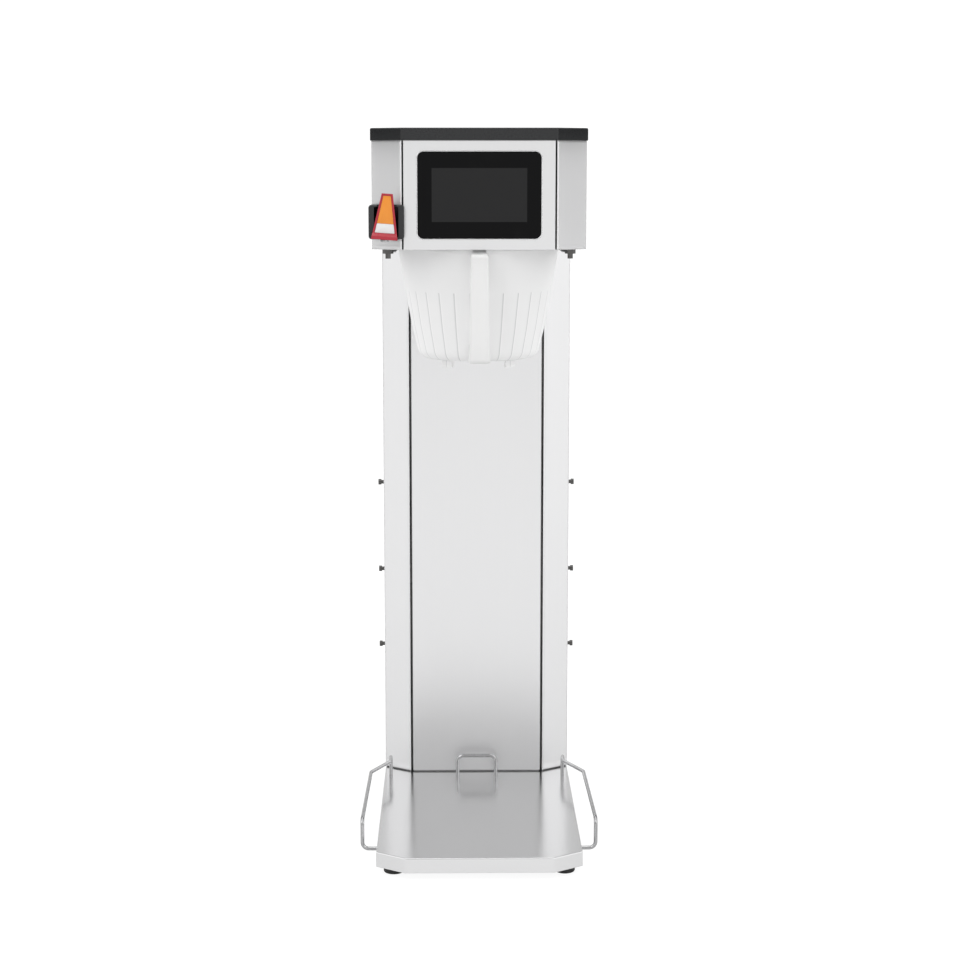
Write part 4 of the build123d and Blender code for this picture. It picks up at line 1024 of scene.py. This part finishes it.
@dataclass
class FaucetLever:
    """Coloured inlays of the hot-water lever, in its recess. The lever leans in its own plane."""

    stem: tuple[float, float] = (-111.274 * MM, -260.108 * MM)
    lean: float = math.radians(4.2)
    low: float = 775.8 * MM
    slope: float = 9.0 / 53.3
    half_low: float = 15.5 * MM
    border: float = 2.6 * MM
    field_low: float = 783.4 * MM
    field_split: float = 794.2 * MM
    field_high: float = 826.5 * MM
    gap: float = 0.1 * MM
    recess: float = -9.0 * MM
    thickness: float = 0.45 * MM
    corner: float = 0.7 * MM
    corner_sides: int = 4
    rounding: float = 0.15 * MM
    rounding_sides: int = 2
    smooth_angle: float = 35.0
    orange: EnamelField = EnamelField("orange_field", (0.70, 0.225, 0.018), (0.75, 0.27, 0.03))
    white: EnamelField = EnamelField("white_field", even(0.72), even(0.66))

    def half_at(self, height: float) -> float:
        """Returns the field's half width at a height."""
        return self.half_low - self.slope * (height - self.low) - self.border

    def inlay(self, name: str, low: float, high: float) -> Bench:
        """Builds one tapering inlay.

        Args:
            name: Its name.
            low: Its lower edge.
            high: Its upper edge.

        Returns:
            Its bench.
        """
        middle = (low + high) / 2
        piece = Bench(name).add(
            bpy.ops.mesh.primitive_cube_add,
            size=1.0,
            location=(0.0, self.recess - self.thickness / 2, middle),
            extent=(self.half_at(low) * 2, self.thickness, high - low),
        )
        piece.edit(Element.VERTEX)
        piece.pick(Element.VERTEX, lambda place, normal: place.z > middle)
        piece.scale((self.half_at(high) / self.half_at(low), 1.0, 1.0), (0.0, self.recess, high))
        piece.pick(Element.EDGE, lambda place, way: abs(way.y) > STRAIGHT)
        bpy.ops.mesh.bevel(offset=self.corner, segments=self.corner_sides)
        piece.leave()
        return piece.round_edges(self.rounding, self.rounding_sides).smooth(self.smooth_angle)

    def build(self) -> None:
        """Builds both inlays."""
        foot = Matrix.Translation((0.0, 0.0, self.low))
        leaning = foot @ Matrix.Rotation(self.lean, 4, "Y") @ foot.inverted()
        where = Matrix.Translation((*self.stem, 0.0)) @ leaning
        upper = self.inlay("lever_field_upper", self.field_split + self.gap, self.field_high)
        upper.move(where).done(self.orange.build(), "faucet_lever", "red_plastic")
        lower = self.inlay("lever_field_lower", self.field_low, self.field_split - self.gap)
        lower.move(where).done(self.white.build(), "faucet_lever", "red_plastic")


@dataclass
class SpoutTip:
    """Bright ring pressed on the faucet's spout, under the lever's lip."""

    stem: tuple[float, float] = (-111.274 * MM, -260.108 * MM)
    clearance: float = 0.05 * MM
    wall: float = 0.7 * MM
    height: float = 2.6 * MM
    measured: float = 0.1 * MM
    sides: int = 48
    rounding: float = 0.25 * MM
    smooth_angle: float = 40.0

    def build(self, wardrobe: Wardrobe) -> None:
        """Builds the ring round the spout's lower end.

        Args:
            wardrobe: The finishes.
        """
        low_corner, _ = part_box("faucet_body")
        ring = Bench("spout_ring").add(
            bpy.ops.mesh.primitive_circle_add,
            vertices=self.sides,
            radius=self.spout_radius() + self.clearance,
            location=(*self.stem, low_corner[2]),
        )
        ring.edit(Element.EDGE)
        ring.extrude((0.0, 0.0, self.height))
        ring.leave()
        ring.modifier("SOLIDIFY", thickness=self.wall, offset=1.0)
        ring.round_edges(self.rounding).smooth(self.smooth_angle)
        ring.done(wardrobe.finishes["steel_wire"], "brewer", "steel_wire")

    def spout_radius(self) -> float:
        """Returns the radius of the spout at its lower end, measured on the CAD node."""
        points = [vertex.co for vertex in frame["nodes"]["faucet_body"].data.vertices]
        low = min(point.z for point in points)
        rim = [point for point in points if point.z < low + self.measured]
        return max(math.hypot(point.x - self.stem[0], point.y - self.stem[1]) for point in rim)


@dataclass
class LevellingFeet:
    """Rubber pads with a rounded rim, each moulded round a threaded stud."""

    places: tuple[str, ...] = ("front_left", "front_right", "rear_left", "rear_right")
    pad_radius: float = 12.7 * MM
    low_round: float = 2.2 * MM
    high_round: float = 1.6 * MM
    round_angles: tuple[float, ...] = (0.0, 20.0, 40.0, 65.0, 90.0)
    pad_height: float = 7.4 * MM
    collar_radius: float = 7.5 * MM
    collar_height: float = 9.6 * MM
    collar_top: float = 1.0 * MM
    collar_chamfer: float = 0.6 * MM
    stud_radius: float = 4.9 * MM
    stud_sunk: float = 1.0 * MM
    thread_depth: float = 0.65 * MM
    pitch: float = 1.25 * MM
    stud_high: float = 26.2 * MM
    sides: int = 64
    smooth_angle: float = 38.0

    def pad_profile(self) -> Profile:
        """Returns the pad's stations from its flat face up to its collar."""
        turns = [math.radians(angle) for angle in self.round_angles]
        low, high = self.low_round, self.high_round
        low_centre = self.pad_radius - low
        high_centre = self.pad_radius - high
        shoulder = self.pad_height - high
        return [
            *((low_centre + low * math.sin(turn), low * (1 - math.cos(turn))) for turn in turns),
            *((high_centre + high * math.cos(turn), shoulder + high * math.sin(turn)) for turn in turns),
            (self.collar_radius + self.high_round, self.pad_height),
            (self.collar_radius, self.collar_height - self.collar_top),
            (self.collar_radius - self.collar_chamfer, self.collar_height),
        ]

    def stud_profile(self) -> Profile:
        """Returns the stud's stations, root and crest by turns."""
        root = self.stud_radius - self.thread_depth
        stations = [(root, self.collar_height - self.stud_sunk)]
        height = self.collar_height
        while height + self.pitch < self.stud_high:
            stations += [(root, height), (self.stud_radius, height + self.pitch / 2)]
            height += self.pitch
        return [*stations, (root, self.stud_high)]

    def turned(self, name: str, profile: Profile) -> Bench:
        """Builds a closed turned piece on the z axis.

        Args:
            name: Its name.
            profile: Radius and height of each station.

        Returns:
            Its bench.
        """
        radius, low = profile[0]
        piece = Bench(name).add(
            bpy.ops.mesh.primitive_circle_add,
            vertices=self.sides,
            radius=radius,
            fill_type="NGON",
            location=(0.0, 0.0, low),
        )
        piece.edit()
        piece.turn_profile(profile)
        piece.leave()
        return piece.smooth(self.smooth_angle)

    def build(self, wardrobe: Wardrobe) -> None:
        """Builds a pad and a stud at each corner.

        Args:
            wardrobe: The finishes.
        """
        rubber = wardrobe.finishes["foot_rubber"]
        steel = wardrobe.finishes["screw_steel"]
        pad = self.turned("foot_pad", self.pad_profile())
        stud = self.turned("foot_stud", self.stud_profile())
        for place in self.places:
            node = f"foot_{place}"
            low, high = (Vector(corner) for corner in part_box(node))
            where = Matrix.Translation(((low.x + high.x) / 2, (low.y + high.y) / 2, low.z))
            pad.copy_as(f"foot_pad_{place}", where).done(rubber, node, "foot_rubber", node)
            stud.copy_as(f"foot_stud_{place}", where).done(steel, node, "screw_steel")
        for pattern in (pad, stud):
            bpy.data.objects.remove(pattern.body)


@dataclass(frozen=True)
class PhotoCamera:
    """The photograph's camera, as fitted to the object's corners."""

    focus_px: float = 1993.29
    photo_width_px: float = 960.0
    sensor_width_mm: float = 36.0
    place: Point = (-0.02922, -2.61304, 0.85714)
    tilt_down: float = 0.1547
    turn_right: float = 0.0127
    sight: float = 100.0

    def build(self) -> None:
        """Sets the camera at its place."""
        lens = bpy.data.cameras.new("camera")
        lens.lens = self.focus_px / self.photo_width_px * self.sensor_width_mm
        lens.sensor_width = self.sensor_width_mm
        lens.clip_end = self.sight
        view = bpy.data.objects.new("camera", lens)
        view.location = self.place
        view.rotation_euler = (math.pi / 2 - self.tilt_down, 0.0, -self.turn_right)
        bpy.context.scene.collection.objects.link(view)
        bpy.context.scene.camera = view


@dataclass(frozen=True)
class SoftBox:
    """An area lamp: its place, its width and height in metres, and its power in watts."""

    name: str
    place: Point
    size: tuple[float, float]
    power: float
    aim: Point = (0.0, -0.1, 0.5)

    def build(self) -> None:
        """Hangs the lamp, pointed at the object's middle."""
        light = bpy.data.lights.new(self.name, "AREA")
        light.shape = "RECTANGLE"
        light.size, light.size_y = self.size
        light.energy = self.power
        box = bpy.data.objects.new(self.name, light)
        box.location = self.place
        box.rotation_euler = (Vector(self.place) - Vector(self.aim)).to_track_quat("Z", "Y").to_euler()
        bpy.context.scene.collection.objects.link(box)


@dataclass(frozen=True)
class Surroundings:
    """The world: plain white to the camera, and walls of different levels to all else."""

    white_level: float = 1.12
    front_level: float = 1.10
    front_high: float = 0.60
    front_rise: Span = Span(0.0, 0.18)
    front_tilt: float = 0.10
    tilt_rise: Span = Span(-0.06, 0.06)
    side_level: float = 1.05
    side_high: float = 1.3
    side_rise: Span = Span(0.05, 0.25)
    flag_left: float = 0.60
    flag_right: float = 0.42
    flag_swap: Span = Span(-0.2, 0.2)
    back_level: float = 0.9
    ahead_rise: Span = Span(0.35, 0.85)
    flag_rise: Span = Span(0.0, 0.35)
    behind_rise: Span = Span(0.90, 0.985)

    def build(self) -> None:
        """Makes the world."""
        world = bpy.data.worlds.new("surroundings")
        world.use_nodes = True
        bpy.context.scene.world = world
        desk = NodeDesk(world.node_tree, "ShaderNodeOutputWorld")
        camera, glossy = desk.rays()
        across, back, height = desk.parts(desk.node("ShaderNodeTexCoord", {}, {}, "Generated"))
        ahead = (0.0 - back).ramp(self.ahead_rise)
        behind = back.ramp(self.behind_rise)
        flagged = (back.ramp(self.flag_rise) - behind) * glossy
        tilt = 1.0 + across.ramp(self.tilt_rise).swing(2.0 * self.front_tilt)
        front = self.front_level + height.ramp(self.front_rise) * (self.front_high - self.front_level)
        side = self.side_level + height.ramp(self.side_rise) * (self.side_high - self.side_level)
        flag = self.flag_left + across.ramp(self.flag_swap) * (self.flag_right - self.flag_left)
        level = front * tilt * ahead + self.back_level * behind + flag * flagged
        level = level + side * (1.0 - ahead - behind - flagged)
        level = level * (1.0 - camera) + camera * self.white_level
        desk.show(desk.node("ShaderNodeBackground", {}, {"Color": WHITE, "Strength": level}))


@dataclass(frozen=True)
class Floor:
    """The pale floor. The camera and the steel see it lit more evenly than its shadow would be."""

    size: float = 60.0
    clouds: Pattern = Pattern(even(0.8))
    tint: Colour = even(0.65)
    paler: Colour = even(0.67)
    glow: float = 1.2
    seen: float = 0.75
    mirrored_beside: float = 0.05
    mirrored_ahead: float = 0.42
    mirrored_far: float = 0.46
    wedge_rise: Span = Span(0.0, 0.25)
    wedge_fade: Span = Span(0.3, 1.1)
    far_rise: Span = Span(0.2, 3.0)

    def build(self) -> None:
        """Lays the floor."""
        ground = Bench("floor").add(bpy.ops.mesh.primitive_plane_add, size=self.size, location=even(0.0))
        desk = FinishDesk("floor")
        camera, glossy = desk.rays()
        colour = desk.blend(desk.noise(self.clouds), self.tint, self.paler)
        glow = desk.glow(WHITE, self.glow)
        matt = desk.node("ShaderNodeBsdfDiffuse", {}, {"Color": colour})
        x, y, _ = desk.parts(desk.place())
        distance = (x * x + y * y).root()
        in_front = (0.0 - y - x.size()).ramp(self.wedge_rise) * (1.0 - distance.ramp(self.wedge_fade))
        far = distance.ramp(self.far_rise)
        mirrored = self.mirrored_beside + far * (self.mirrored_far - self.mirrored_beside)
        mirrored = mirrored + in_front * (self.mirrored_ahead - self.mirrored_beside)
        share = camera * self.seen + glossy * mirrored
        desk.show(desk.node("ShaderNodeMixShader", {}, {0: share, 1: matt, 2: glow}))
        ground.body.data.materials.append(desk.material)
        ground.body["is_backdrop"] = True


@dataclass(frozen=True)
class Card:
    """A pair of grey cards beside the object, between two heights. They show only in reflections."""

    name: str
    low: float
    high: float
    level: float
    side: float = 0.24
    middle: float = -0.31
    depth: float = 0.13

    def build(self) -> None:
        """Hangs one card on each side."""
        desk = FinishDesk(self.name)
        desk.show(desk.glow((*even(self.level), 1.0), 1.0))
        for place, side in (("left", -self.side), ("right", self.side)):
            card = Bench(f"{self.name}_{place}").add(
                bpy.ops.mesh.primitive_plane_add,
                size=1.0,
                location=(side, self.middle, (self.low + self.high) / 2),
                rotation=(0.0, QUARTER_TURN, 0.0),
                extent=(self.high - self.low, self.depth, 1.0),
            )
            card.body.data.materials.append(desk.material)
            card.body.visible_camera = False
            card.body.visible_diffuse = False
            card.body.visible_transmission = False
            card.body.visible_shadow = False
            card.body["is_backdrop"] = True


@dataclass
class Studio:
    """The photograph's camera, soft lamps, white surroundings, pale floor and grey cards."""

    camera: PhotoCamera = PhotoCamera()
    key: SoftBox = SoftBox("key_lamp", place=(-1.7, -2.2, 2.1), size=(1.4, 1.8), power=20.0)
    fill: SoftBox = SoftBox("fill_lamp", place=(1.9, -1.9, 1.3), size=(1.2, 1.8), power=11.0)
    top: SoftBox = SoftBox("top_lamp", place=(0.0, 0.2, 2.8), size=(1.6, 1.6), power=12.0)
    surroundings: Surroundings = Surroundings()
    floor: Floor = Floor()
    head_card: Card = Card("head_card", low=0.74, high=0.888, level=0.68)
    lid_card: Card = Card("lid_card", low=0.892, high=0.98, level=0.04)

    def build(self) -> None:
        """Sets up all of it in order."""
        for piece in (self.camera, self.key, self.fill, self.top, self.surroundings, self.floor):
            piece.build()
        for card in (self.head_card, self.lid_card):
            card.build()
        bpy.context.scene.view_settings.view_transform = "Standard"


def plain(box: object) -> object:
    """Returns a box as nested lists of numbers."""
    return float(box) if isinstance(box, (int, float)) else [plain(part) for part in box]


def save_sizes(before: object, after: object) -> None:
    """Puts the CAD box and the finished box in a dict, which is not kept or written.

    Args:
        before: Box straight after loading.
        after: Box of the finished model.
    """
    {"cad": plain(before), "visual": plain(after)}


def main() -> None:
    """Builds the scene piece by piece."""
    logging.basicConfig(level=logging.INFO, format="%(message)s")
    Studio().build()
    wardrobe = Wardrobe()
    wardrobe.build()
    wardrobe.dress_nodes(frame["record"])
    HeadFront().build(wardrobe)
    FaucetLever().build()
    SpoutTip().build(wardrobe)
    LevellingFeet().build(wardrobe)
    save_sizes(cad_box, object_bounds())


if __name__ == "__main__":
    main()
